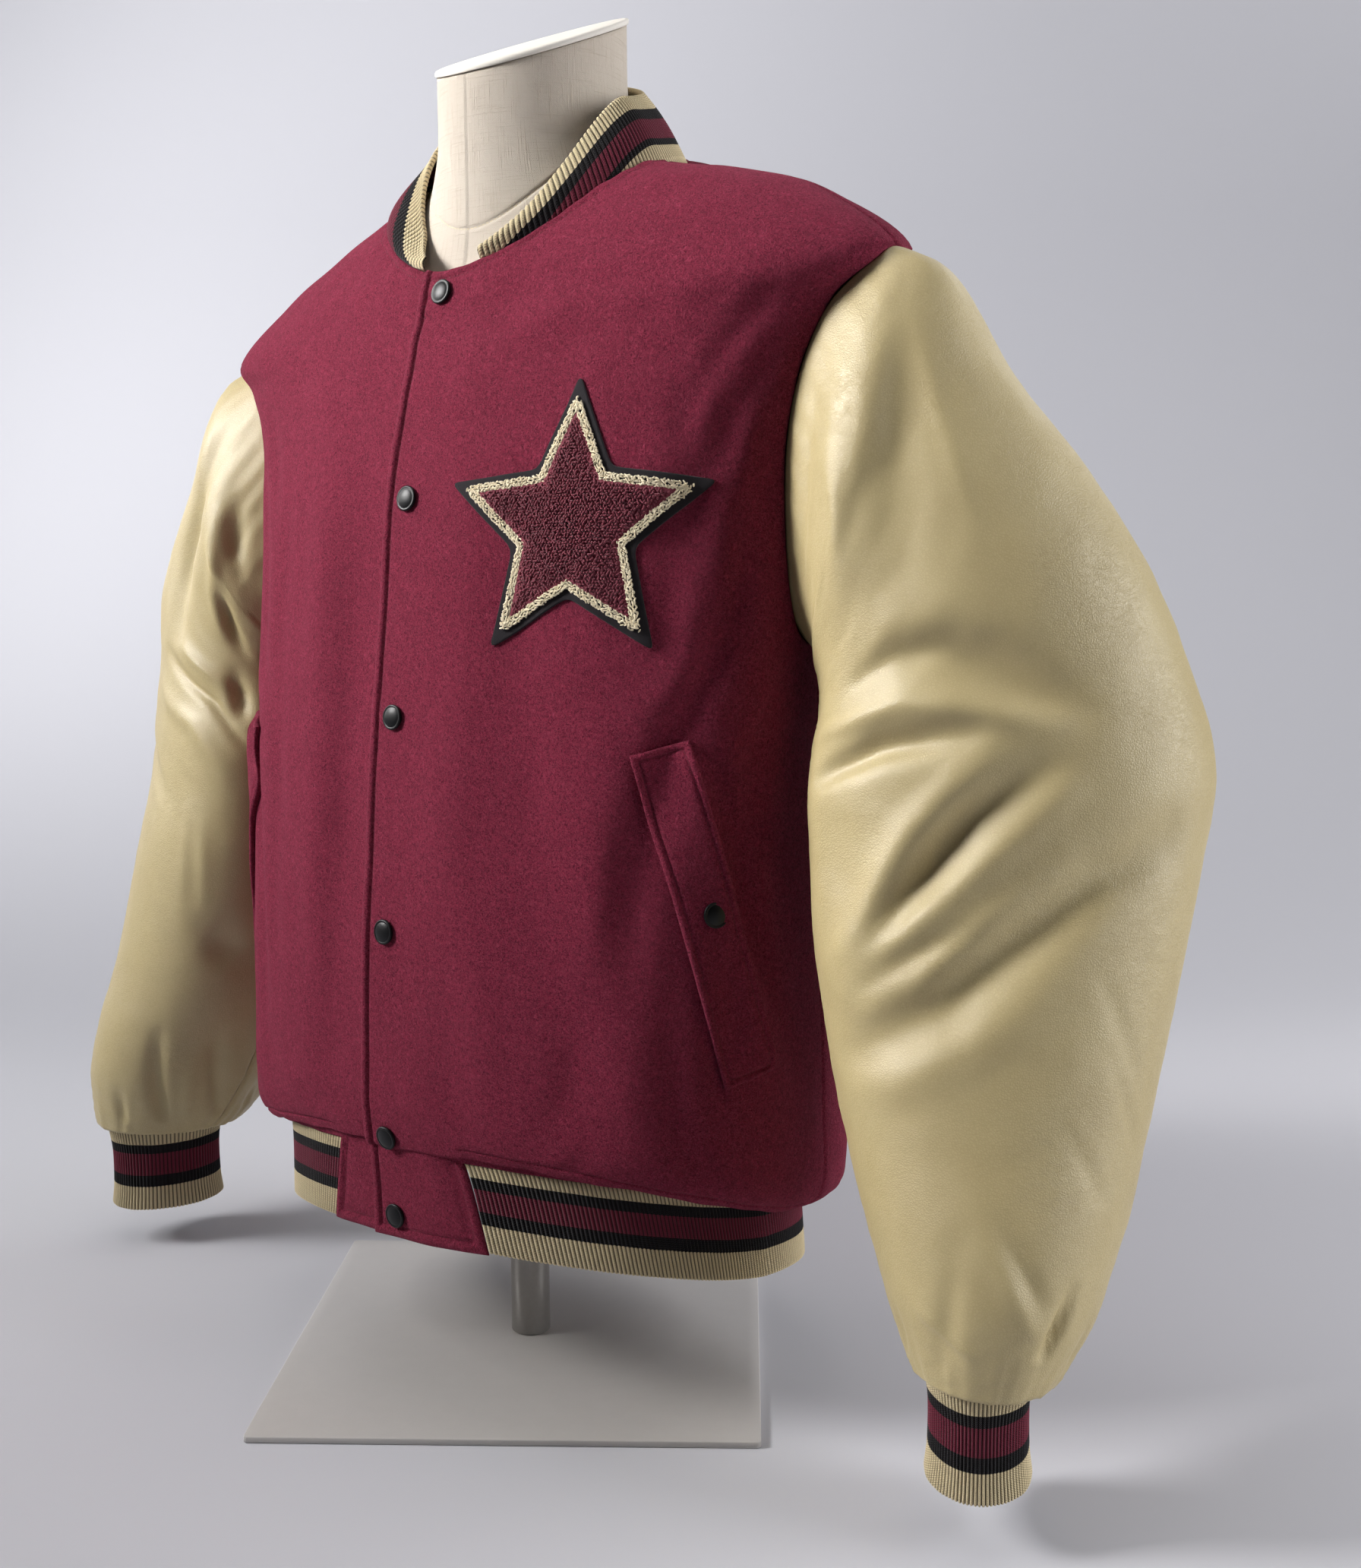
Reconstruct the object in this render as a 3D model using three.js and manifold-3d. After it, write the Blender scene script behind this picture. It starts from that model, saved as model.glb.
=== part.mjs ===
// A wool and leather varsity jacket worn by a limbless dress form on a pole and a square plate.
// Millimetres, +Z up, the chest towards -Y, the wearer's left towards +X.
// The origin is on the pole's axis, on the floor.
import * as THREE from 'three';
import { mergeVertices } from 'three/addons/utils/BufferGeometryUtils.js';
import Module from 'manifold-3d';

const wasm = await Module();
wasm.setup();

// Cloth
const WOOL = 2.4;
const LEATHER = 1.6;
const RIB = 2.2;
const RIB_RISE = 0.7;
const RIB_PITCH = 3.0;
const FELT = 1.6;
const CHENILLE = 3.2;
const SEAM = 0.3;
const LAP_RISE = WOOL + 0.45;
const LAP = 21;

// Trim
const SNAP_R = 7.6;
const SNAP_H = 2.6;
const WELT_RISE = 2.2;
const STAR_R = 75;
const STAR_INNER = 0.47;

// Stand
const PLATE_SIDE = 305;
const PLATE_T = 4;
const PLATE_TURN = 35.5;
const POLE_R = 12.8;
const FORM_FLOOR = 188;
const CAP_T = 3;
// Rows of the shoulders that the form follows, and how far below the cloth it stays.
const FORM_UNDER = [[13.5, 3.4], [13.9, 1.7], [14.6, 2.2]];

const RAD = Math.PI / 180;
const clamp = (x, a, b) => Math.min(b, Math.max(a, x));
const mix = (a, b, t) => a + (b - a) * t;
const smooth = (a, b, x) => { const t = clamp((x - a) / (b - a), 0, 1); return t * t * (3 - 2 * t); };
const range = (n) => Array.from({ length: n }, (_, i) => i);
const steps = (a, b, n) => range(n + 1).map((i) => mix(a, b, i / n));
const spow = (x, p) => Math.sign(x) * Math.abs(x) ** p;

// A smooth line through the rows of a table, read at any row number.
function spline(rows, t, pick) {
  const n = rows.length - 1;
  const i = Math.min(n - 1, Math.max(0, Math.floor(t)));
  const f = t - i;
  const b = pick(rows[i]);
  const c = pick(rows[i + 1]);
  const a = i > 0 ? pick(rows[i - 1]) : 2 * b - c;
  const d = i + 2 <= n ? pick(rows[i + 2]) : 2 * c - b;
  return b + 0.5 * f * (c - a + f * (2 * a - 5 * b + 4 * c - d + f * (3 * (b - c) + d - a)));
}

// Rings round the body. half: half width; front, back, mid: y of the ring's front, back and
// widest point; zFront, zSide, zBack: its height there; power: squareness of the ring;
// reach: how narrow the front's height is; lean: how much higher the wearer's left side hangs.
const BODY = [
  { at: 'band hem', half: 189, front: -115, back: 146, mid: 8, zFront: 104, zSide: 75, zBack: 52, power: 2.2, reach: 1, lean: 9 },
  { at: 'band seam', half: 187, front: -118, back: 146, mid: 8, zFront: 160, zSide: 127, zBack: 106, power: 2.2, reach: 1, lean: 9 },
  { at: 'blouse edge', half: 201, front: -121, back: 153, mid: 8, zFront: 166, zSide: 119, zBack: 94, power: 2.3, reach: 1, lean: 9 },
  { at: 'blouse', half: 213, front: -123, back: 157, mid: 8, zFront: 180, zSide: 135, zBack: 110, power: 2.4, reach: 1, lean: 9 },
  { at: 'low', half: 214, front: -123, back: 156, mid: 8, zFront: 214, zSide: 183, zBack: 166, power: 2.4, reach: 1, lean: 9 },
  { at: 'hip', half: 211, front: -119, back: 150, mid: 7, zFront: 295, zSide: 281, zBack: 270, power: 2.45, reach: 1, lean: 8 },
  { at: 'waist', half: 210, front: -112, back: 144, mid: 6, zFront: 375, zSide: 371, zBack: 368, power: 2.5, reach: 2, lean: 7 },
  { at: 'under arm', half: 210, front: -106, back: 141, mid: 6, zFront: 428, zSide: 422, zBack: 428, power: 2.5, reach: 2, lean: 6 },
  { at: 'armpit', half: 212, front: -101, back: 140, mid: 7, zFront: 466, zSide: 456, zBack: 470, power: 2.45, reach: 2, lean: 6 },
  { at: 'chest', half: 216, front: -91, back: 137, mid: 10, zFront: 548, zSide: 545, zBack: 560, power: 2.3, reach: 2, lean: 7 },
  { at: 'high chest', half: 227, front: -79, back: 133, mid: 14, zFront: 600, zSide: 600, zBack: 624, power: 2.25, reach: 2, lean: 8 },
  { at: 'yoke', half: 245, front: -70, back: 126, mid: 18, zFront: 632, zSide: 641, zBack: 668, power: 2.2, reach: 2, lean: 9 },
  { at: 'shoulder tip', half: 264, front: -64, back: 119, mid: 22, zFront: 651, zSide: 668, zBack: 704, power: 2.2, reach: 2, lean: 11 },
  { at: 'shoulder', half: 212, front: -60, back: 114, mid: 22, zFront: 665, zSide: 706, zBack: 735, power: 2.15, reach: 2, lean: 13 },
  { at: 'by the neck', half: 158, front: -57, back: 110, mid: 21, zFront: 676, zSide: 728, zBack: 762, power: 2.1, reach: 2, lean: 11 },
  { at: 'neckline', half: 104, front: -53, back: 106, mid: 20, zFront: 686, zSide: 745, zBack: 777, power: 2.0, reach: 2, lean: 5 },
];
const ROW = Object.fromEntries(BODY.map((r, i) => [r.at, i]));

// Soft troughs (depth below 0) and ridges on the body, each from one place to another.
// deg: angle from the centre front towards the wearer's left; v: row; width, depth in mm.
const BODY_FOLDS = [
  { deg0: 70, v0: 8.9, deg1: 40, v1: 4.2, width: 13, depth: -3.0 },
  { deg0: 60, v0: 7.6, deg1: 24, v1: 2.8, width: 12, depth: -2.2 },
  { deg0: 82, v0: 7.2, deg1: 62, v1: 3.4, width: 11, depth: -2.6 },
  { deg0: 66, v0: 10.4, deg1: 46, v1: 7.6, width: 14, depth: -2.4 },
  { deg0: 24, v0: 10.8, deg1: 16, v1: 5.2, width: 15, depth: -1.6 },
  { deg0: -70, v0: 8.9, deg1: -38, v1: 4.6, width: 13, depth: -3.0 },
  { deg0: -62, v0: 10.4, deg1: -40, v1: 7.4, width: 14, depth: -2.6 },
  { deg0: -56, v0: 7.4, deg1: -30, v1: 2.8, width: 12, depth: -2.0 },
  { deg0: -84, v0: 7.0, deg1: -66, v1: 3.2, width: 11, depth: -2.6 },
  { deg0: 122, v0: 9.2, deg1: 140, v1: 4.4, width: 15, depth: -3.2 },
  { deg0: 112, v0: 7.6, deg1: 120, v1: 3.2, width: 12, depth: -2.6 },
  { deg0: 160, v0: 9.6, deg1: 163, v1: 3.6, width: 16, depth: -2.2 },
  { deg0: -126, v0: 9.4, deg1: -144, v1: 4.2, width: 15, depth: -3.0 },
  { deg0: -114, v0: 7.4, deg1: -124, v1: 3.0, width: 12, depth: -2.8 },
  { deg0: -168, v0: 9.2, deg1: -172, v1: 3.4, width: 16, depth: -2.0 },
];

// Sum of the folds at a place, in a flat sheet of mm: across by the degree, along by the row.
function foldSum(folds, deg, v, perDeg, perRow) {
  let sum = 0;
  for (const f of folds) {
    let dx = deg - f.deg0;
    dx -= 360 * Math.round(dx / 360);
    const ax = (f.deg1 - f.deg0) * perDeg;
    const ay = (f.v1 - f.v0) * perRow;
    const px = dx * perDeg;
    const py = (v - f.v0) * perRow;
    const t = clamp((px * ax + py * ay) / (ax * ax + ay * ay), 0, 1);
    const d2 = (px - t * ax) ** 2 + (py - t * ay) ** 2;
    sum += f.depth * (0.45 + 0.55 * Math.sin(Math.PI * t)) * Math.exp(-d2 / (f.width * f.width));
  }
  return sum;
}

function bodyRing(deg, v) {
  const get = (key) => spline(BODY, v, (r) => r[key]);
  const s = Math.sin(deg * RAD);
  const c = Math.cos(deg * RAD);
  const e = 2 / get('power');
  const mid = get('mid');
  const depth = c > 0 ? mid - get('front') : get('back') - mid;
  const zEnd = c > 0 ? get('zFront') : get('zBack');
  const w = Math.abs(c) ** get('reach');
  const x = get('half') * spow(s, e);
  return new THREE.Vector3(x, mid - depth * spow(c, e), mix(get('zSide'), zEnd, w) + get('lean') * x / 200);
}

function normalOf(fn, a, b, da, db) {
  const u = fn(a + da, b).sub(fn(a - da, b));
  const w = fn(a, b + db).sub(fn(a, b - db));
  return u.cross(w).normalize();
}

function bodyBase(deg, v, out) {
  const n = normalOf(bodyRing, deg, v, 0.6, 0.06);
  return bodyRing(deg, v).addScaledVector(n, out);
}

function body(deg, v, out = 0) {
  return bodyBase(deg, v, out + foldSum(BODY_FOLDS, deg, v, 3.1, 42));
}

// The angle at which a ring's front reaches a given x.
function degAtX(x, v) {
  const half = spline(BODY, v, (r) => r.half);
  const power = spline(BODY, v, (r) => r.power);
  return Math.sign(x) * Math.asin(Math.min(1, Math.abs(x) / half) ** (power / 2)) / RAD;
}

function rowAtZ(deg, z) {
  let lo = ROW['band hem'];
  let hi = ROW.neckline;
  for (let k = 0; k < 40; k++) {
    const m = (lo + hi) / 2;
    if (bodyRing(deg, m).z < z) lo = m; else hi = m;
  }
  return (lo + hi) / 2;
}

// Side seams below the arm, shoulder seams above it, and the armhole between them.
const ARMPIT = ROW.armpit;
const TIP = ROW['shoulder tip'];
const NECK = ROW.neckline;
const SIDE = 96;
const ARMHOLE = { front: 17, back: 27 };
const seamDeg = (v) => mix(SIDE, 90, smooth(ARMPIT, TIP, v));

// The armhole, phi from the shoulder tip (0) by the front (90) and the armpit (180) to the back.
function armhole(phi, inset = 0) {
  const mid = (ARMPIT + TIP) / 2;
  const reach = (TIP - ARMPIT) / 2 - inset / 52;
  const v = mid + reach * Math.cos(phi * RAD);
  const s = Math.sin(phi * RAD);
  const width = (s > 0 ? ARMHOLE.front : ARMHOLE.back) - inset / 3.3;
  return { v, deg: seamDeg(v) - width * spow(s, 0.92) };
}

function armholeEdge(v, front) {
  const mid = (ARMPIT + TIP) / 2;
  const c = clamp((v - mid) / ((TIP - ARMPIT) / 2), -1, 1);
  const s = Math.sqrt(1 - c * c) ** 0.92;
  return seamDeg(v) + (front ? -ARMHOLE.front : ARMHOLE.back) * s;
}

// Meshes from grids of points
function solid(positions, triangles) {
  const g = new THREE.BufferGeometry();
  g.setAttribute('position', new THREE.Float32BufferAttribute(positions.flatMap((p) => [p.x, p.y, p.z]), 3));
  g.setIndex(triangles);
  return g;
}

// A wall between two grids of the same size. Cells not kept are left out, and each free edge
// is closed by a rim. The outer grid runs so that its cells face out.
function wall(outer, inner, keep = () => true) {
  const rows = outer.length;
  const cols = outer[0].length;
  const id = (k, i, j) => k * rows * cols + i * cols + j;
  const points = [...outer.flat(), ...inner.flat()];
  const tri = [];
  const has = (i, j) => i >= 0 && j >= 0 && i < rows - 1 && j < cols - 1 && keep(i, j);
  const quad = (a, b, c, d) => tri.push(a, b, c, a, c, d);
  for (let i = 0; i < rows - 1; i++) {
    for (let j = 0; j < cols - 1; j++) {
      if (!has(i, j)) continue;
      quad(id(0, i, j), id(0, i, j + 1), id(0, i + 1, j + 1), id(0, i + 1, j));
      quad(id(1, i, j), id(1, i + 1, j), id(1, i + 1, j + 1), id(1, i, j + 1));
      if (!has(i - 1, j)) quad(id(0, i, j), id(1, i, j), id(1, i, j + 1), id(0, i, j + 1));
      if (!has(i + 1, j)) quad(id(0, i + 1, j + 1), id(1, i + 1, j + 1), id(1, i + 1, j), id(0, i + 1, j));
      if (!has(i, j - 1)) quad(id(0, i + 1, j), id(1, i + 1, j), id(1, i, j), id(0, i, j));
      if (!has(i, j + 1)) quad(id(0, i, j + 1), id(1, i, j + 1), id(1, i + 1, j + 1), id(0, i + 1, j + 1));
    }
  }
  const used = new Map();
  const kept = [];
  const index = tri.map((k) => {
    if (!used.has(k)) { used.set(k, kept.length); kept.push(points[k]); }
    return used.get(k);
  });
  return solid(kept, index);
}

// Triangles between two lines of points with their own counts, both from t = 0 to 1.
function zip(a, b, tri, flip) {
  let i = 0;
  let j = 0;
  while (i < a.length - 1 || j < b.length - 1) {
    const stepA = j === b.length - 1
      || (i < a.length - 1 && (i + 1) / (a.length - 1) <= (j + 1) / (b.length - 1));
    const t = stepA ? [a[i], a[i + 1], b[j]] : [a[i], b[j + 1], b[j]];
    if (flip) t.reverse();
    tri.push(...t);
    if (stepA) i++; else j++;
  }
}

// A knitted band: ribs stand up on the outside over a plain inside of fewer columns.
// face(u, t, out) gives a point; u runs along the band and t across it.
function ribbed(face, count, plainCols, rowsAt, closed) {
  const points = [];
  const put = (p) => points.push(p) - 1;
  const cols = 2 * count + (closed ? 0 : 1);
  const outer = rowsAt.map((t) => range(cols).map((k) =>
    put(face(k / (2 * count), t, k % 2 === 0 ? 0 : RIB_RISE))));
  const plain = closed ? plainCols : plainCols + 1;
  const inner = rowsAt.map((t) => range(plain).map((k) => put(face(k / plainCols, t, -RIB))));
  if (closed) [...outer, ...inner].forEach((row) => row.push(row[0]));
  const tri = [];
  for (let i = 0; i < rowsAt.length - 1; i++) {
    zip(outer[i], outer[i + 1], tri, false);
    zip(inner[i], inner[i + 1], tri, true);
  }
  zip(inner[0], outer[0], tri, false);
  zip(outer[rowsAt.length - 1], inner[rowsAt.length - 1], tri, false);
  if (!closed) {
    const column = (grid, j) => grid.map((row) => row.at(j));
    zip(column(outer, 0), column(inner, 0), tri, false);
    zip(column(inner, -1), column(outer, -1), tri, false);
  }
  return solid(points, tri);
}

const group = new THREE.Group();
const LOOKS = {
  wool: { color: 0x5e1a2b, roughness: 0.95, metalness: 0 },
  leather: { color: 0xd9c48f, roughness: 0.42, metalness: 0 },
  rib: { color: 0xcdb27f, roughness: 0.9, metalness: 0 },
  snap: { color: 0x24272b, roughness: 0.35, metalness: 0.8 },
  felt: { color: 0x16161a, roughness: 0.95, metalness: 0 },
  chenille: { color: 0x7a1f35, roughness: 1, metalness: 0 },
  cord: { color: 0xd8c69a, roughness: 0.95, metalness: 0 },
  linen: { color: 0xb9ab93, roughness: 0.95, metalness: 0 },
  cap: { color: 0xd8d0c2, roughness: 0.5, metalness: 0 },
  steel: { color: 0xb9b8b4, roughness: 0.5, metalness: 0.2 },
};
function add(name, geometry, look) {
  const mesh = new THREE.Mesh(geometry, new THREE.MeshStandardMaterial(LOOKS[look]));
  mesh.name = name;
  group.add(mesh);
  return mesh;
}

// Body panels. Each keeps its outer points, so that trim can follow them.
const INSET = SEAM / 2 / 3.2;
const ARM_STEP = 15;
const armRows = range(13).map((k) => armhole(180 - ARM_STEP * k).v);
const PANEL_ROWS = [0, 1, 1.5, 2, 2.7, 3.7, 4.9, 6.1, 7.2, ...armRows, 12.9, 13.9, NECK];

function panel(name, across, lift, keep) {
  const outer = PANEL_ROWS.map((v) => across(v).map((deg) => body(deg, v, lift(deg, v))));
  const inner = PANEL_ROWS.map((v) => across(v).map((deg) => body(deg, v, lift(deg, v) - WOOL)));
  return { outer, mesh: add(name, wall(outer, inner, keep), 'wool') };
}

// A front from its closing edge (x = edge) to the side seam, armhole and shoulder seam. Below
// the band seam only the tab is kept, TAB columns wide.
const TAB = 4;
function frontAcross(side, v) {
  const seam = v <= ARMPIT || v >= TIP ? seamDeg(v) : armholeEdge(v, true);
  const tabX = v < 1 ? mix(67, 53, clamp(v, 0, 1)) : mix(53, 62, clamp((v - 1) / 8, 0, 1));
  const edge = degAtX(-LAP, v);
  const lap = degAtX(LAP + 5, v);
  const tab = degAtX(tabX, v);
  const last = seam - INSET;
  const near = [edge, mix(edge, lap, 0.5), lap, mix(lap, tab, 0.5), tab];
  const far = steps(tab, last, 7).slice(1);
  const line = [...near, ...far];
  return side > 0 ? line : line.map((d) => -d).reverse();
}
const lapLift = (deg, v) => {
  const x = bodyRing(deg, v).x;
  return LAP_RISE * (1 - smooth(LAP + 6, LAP + 46, x));
};
const TAB_ROWS = PANEL_ROWS.filter((v) => v < 1).length;
const COLS = frontAcross(1, 3).length - 1;
const frontLeft = panel('front_left', (v) => frontAcross(1, v), lapLift,
  (i, j) => i >= TAB_ROWS || j < TAB);
const frontRight = panel('front_right', (v) => frontAcross(-1, v), () => 0,
  (i, j) => i >= TAB_ROWS || j >= COLS - TAB);
const TOP_LEFT = frontAcross(1, NECK);
const TOP_RIGHT = frontAcross(-1, NECK);
const backRows = PANEL_ROWS.filter((v) => v >= 1);
const backAcross = (v) => {
  const seam = v <= ARMPIT || v >= TIP ? seamDeg(v) : armholeEdge(v, false);
  return steps(seam + INSET, 360 - seam - INSET, 14);
};
add('back', wall(
  backRows.map((v) => backAcross(v).map((d) => body(d, v, 0))),
  backRows.map((v) => backAcross(v).map((d) => body(d, v, -WOOL)))), 'wool');

// Rib band round the hem, from tab to tab.
const BAND_TOP = 0.985;
const bandDeg = (u, v) => {
  const start = degAtX(mix(67, 53, clamp(v, 0, 1)), v) + 0.12;
  return mix(start, 360 - start, u);
};
const bandFace = (u, t, out) => {
  const v = mix(0.02, BAND_TOP, t);
  return bodyBase(bandDeg(u, v), v, out - RIB_RISE - 0.6);
};
add('waistband', ribbed(bandFace, 306, 64, [0, 1], false), 'rib');

// Collar: from the neckline up to a smaller ring, its ends tapering to the centre front.
const COLLAR_END = 13;
const TOP_RING = { half: 71.5, front: -44, back: 83, mid: 19, zFront: 730, zSide: 792, zBack: 817 };
function collarTop(deg) {
  const s = Math.sin(deg * RAD);
  const c = Math.cos(deg * RAD);
  const r = TOP_RING;
  const depth = c > 0 ? r.mid - r.front : r.back - r.mid;
  return new THREE.Vector3(r.half * s, r.mid - depth * c, mix(r.zSide, c > 0 ? r.zFront : r.zBack, c * c));
}
const collarHeight = (deg) => {
  const d = Math.min(deg, 360 - deg);
  return 0.1 + 0.9 * smooth(COLLAR_END - 12, 112, d) ** 0.8;
};
const neckKnots = [
  ...TOP_LEFT.map((d) => ({ deg: d, p: body(d, NECK, lapLift(d, NECK)) })),
  ...backAcross(NECK).map((d) => ({ deg: d, p: body(d, NECK) })),
  ...TOP_RIGHT.map((d) => ({ deg: d + 360, p: body(d, NECK) })),
];
function neckEdge(deg) {
  const k = clamp(neckKnots.findIndex((q) => q.deg > deg), 1, neckKnots.length - 1);
  const [a, b] = [neckKnots[k - 1], neckKnots[k]];
  return a.p.clone().lerp(b.p, (deg - a.deg) / (b.deg - a.deg));
}
function collarSheet(u, t) {
  const deg = mix(COLLAR_END, 360 - COLLAR_END, u);
  const low = neckEdge(deg);
  const up = collarTop(deg).sub(low);
  const out = new THREE.Vector3(Math.sin(deg * RAD), -Math.cos(deg * RAD), 0.4);
  return low.clone().addScaledVector(up, t * collarHeight(deg))
    .addScaledVector(out, 3.2 * Math.sin(Math.PI * t * 0.8))
    .addScaledVector(up.normalize(), SEAM + 0.1);
}
function collarFace(u, t, out) {
  const own = normalOf(collarSheet, u, clamp(t, 0.02, 0.98), 0.002, 0.02);
  const deg = mix(COLLAR_END, 360 - COLLAR_END, u);
  const n = normalOf(bodyRing, deg, NECK - 0.1, 0.6, 0.06).lerp(own, smooth(0, 0.3, t)).normalize();
  return collarSheet(u, t).addScaledVector(n, out - RIB_RISE * (1 - t));
}
add('collar', ribbed(collarFace, 168, 60, [0, 0.45, 1], false), 'rib');

// Sleeve rings. cx, cy, cz: centre; tilt: how far the ring's outer side is raised; long, wide:
// half sizes of the oval; turn: its long side turned to the back.
const SLEEVE = [
  { cx: 257, cy: 28, cz: 558, tilt: 72, long: 113, wide: 62, turn: 0 },
  { cx: 271, cy: 32, cz: 530, tilt: 59, long: 98, wide: 67, turn: 4 },
  { cx: 290, cy: 38, cz: 500, tilt: 44, long: 95, wide: 69, turn: 14 },
  { cx: 307, cy: 41, cz: 467, tilt: 28, long: 98, wide: 69, turn: 24 },
  { cx: 318, cy: 43, cz: 430, tilt: 14, long: 105, wide: 67, turn: 32 },
  { cx: 326, cy: 41, cz: 393, tilt: 5, long: 111, wide: 66, turn: 34 },
  { cx: 326, cy: 36, cz: 350, tilt: 0, long: 107, wide: 67, turn: 34 },
  { cx: 327, cy: 28, cz: 305, tilt: 0, long: 101, wide: 70, turn: 32 },
  { cx: 330, cy: 20, cz: 255, tilt: 0, long: 92, wide: 72, turn: 30 },
  { cx: 334, cy: 12, cz: 212, tilt: 0, long: 83, wide: 73, turn: 28 },
  { cx: 340, cy: 3, cz: 172, tilt: 0, long: 72, wide: 74, turn: 26 },
  { cx: 345, cy: -6, cz: 138, tilt: 0, long: 59, wide: 70, turn: 26 },
  { cx: 348, cy: -13, cz: 116, tilt: 0, long: 50, wide: 62, turn: 28 },
  { cx: 349, cy: -18, cz: 102, tilt: 0, long: 43, wide: 56, turn: 29 },
  { cx: 350, cy: -22, cz: 93, tilt: 0, long: 38, wide: 51, turn: 29 },
  { cx: 350, cy: -26, cz: 89, tilt: 0, long: 34.5, wide: 47, turn: 29 },
  { cx: 350, cy: -29.7, cz: 93.6, tilt: 0, long: 29.8, wide: 42.4, turn: 29 },
];
const CUFF_ROW = SLEEVE.length;

// Folds on the sleeve; deg is phi, 0 at the outer side, 90 at the front, 270 at the back.
const SLEEVE_FOLDS = [
  { deg0: 70, v0: 0.6, deg1: 78, v1: 4.2, width: 12, depth: -6 },
  { deg0: 36, v0: 1.2, deg1: 44, v1: 4.4, width: 16, depth: -3.5 },
  { deg0: -8, v0: 4.6, deg1: 38, v1: 6.4, width: 11, depth: -4.5 },
  { deg0: 44, v0: 6.2, deg1: 92, v1: 5.8, width: 11, depth: -4.5 },
  { deg0: 20, v0: 6.4, deg1: 84, v1: 8.4, width: 12, depth: -5 },
  { deg0: -14, v0: 7.6, deg1: 30, v1: 9.4, width: 12, depth: -5 },
  { deg0: 30, v0: 9.4, deg1: 90, v1: 10.8, width: 13, depth: -5.5 },
  { deg0: 30, v0: 7.2, deg1: 88, v1: 9.5, width: 11, depth: 3 },
  { deg0: 10, v0: 11.2, deg1: 66, v1: 12.8, width: 10, depth: -3.5 },
  { deg0: 105, v0: 6.4, deg1: 150, v1: 7.6, width: 12, depth: -4.5 },
  { deg0: 112, v0: 9.2, deg1: 152, v1: 8.6, width: 12, depth: -4 },
  { deg0: 250, v0: 1.0, deg1: 244, v1: 4.4, width: 13, depth: -5 },
  { deg0: 300, v0: 4.2, deg1: 238, v1: 6.2, width: 12, depth: -4.5 },
  { deg0: 310, v0: 6.8, deg1: 240, v1: 8.2, width: 12, depth: -5 },
  { deg0: 300, v0: 9.4, deg1: 232, v1: 10.4, width: 12, depth: -4.5 },
  { deg0: 290, v0: 11.6, deg1: 230, v1: 12.4, width: 11, depth: -3.5 },
  { deg0: 330, v0: 13.6, deg1: 338, v1: 11.6, width: 8, depth: -4 },
  { deg0: 70, v0: 13.6, deg1: 64, v1: 12.0, width: 8, depth: -3.5 },
  { deg0: 210, v0: 13.6, deg1: 204, v1: 12.0, width: 8, depth: -3.5 },
];

function sleeveOval(row, phi) {
  const a = (phi + row.turn) * RAD;
  const t = row.turn * RAD;
  const p = row.long * Math.cos(a);
  const q = row.wide * Math.sin(a);
  const outward = p * Math.cos(t) + q * Math.sin(t);
  const forward = -p * Math.sin(t) + q * Math.cos(t);
  return new THREE.Vector3(
    row.cx + outward * Math.cos(row.tilt * RAD), row.cy - forward,
    row.cz + outward * Math.sin(row.tilt * RAD));
}
const mirrored = (p, side) => new THREE.Vector3(side * p.x, p.y, p.z);
// The sleeve starts on the same straight steps as the panels' armhole edges. Both sleeves are
// worked out on the wearer's left; the right one hangs from a lower shoulder.
const armKnots = Object.fromEntries([1, -1].map((side) => [side, range(25).map((k) => {
  const hole = armhole(k * ARM_STEP, 0.42);
  return {
    p: mirrored(body(side * hole.deg, hole.v), side),
    n: mirrored(normalOf(bodyRing, side * hole.deg, hole.v, 0.6, 0.06), side),
  };
})]));
const DROP = 22;
function armEdge(phi, side, key) {
  const t = ((phi % 360) + 360) % 360 / ARM_STEP;
  const k = Math.floor(t);
  return armKnots[side][k][key].clone().lerp(armKnots[side][k + 1][key], t - k);
}
function sleeveRing(phi, s, side) {
  const pts = [armEdge(phi, side, 'p'), ...SLEEVE.map((r, i) => {
    const p = sleeveOval(r, phi);
    if (side < 0) p.z -= DROP * (1 - smooth(0, 7, i + 1)) * smooth(430, 600, p.z);
    return p;
  })];
  return new THREE.Vector3(
    spline(pts, s, (p) => p.x), spline(pts, s, (p) => p.y), spline(pts, s, (p) => p.z));
}
function sleeve(phi, s, out, side) {
  const n = normalOf((a, b) => sleeveRing(a, b, side), phi, clamp(s, 0.03, CUFF_ROW - 0.03), 0.8, 0.03);
  const dir = armEdge(phi, side, 'n').multiplyScalar(1 - smooth(0, 0.5, s)).addScaledVector(n, smooth(-0.35, 0.5, s)).normalize();
  const fade = smooth(0.1, 0.9, s) * (1 - smooth(CUFF_ROW - 2, CUFF_ROW - 0.8, s));
  return sleeveRing(phi, s, side).addScaledVector(dir, out + fade * foldSum(SLEEVE_FOLDS, phi, s, 1.45, 42));
}
const SLEEVE_ROWS = [0, 0.45, 1, 1.8, 2.7, 3.6, 4.5, 5.4, 6.3, 7.2, 8.1, 9, 10, 11,
  12, 13, 14, 15, 16, CUFF_ROW - 0.01];
const BACK_SEAM = -45;
const UNDER_SEAM = 180;
const sleeveInset = (s) => (mix(0.28, 0.2, smooth(2, 4, s)) / RAD) / mix(80, 17, smooth(11, CUFF_ROW - 2, s));
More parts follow.
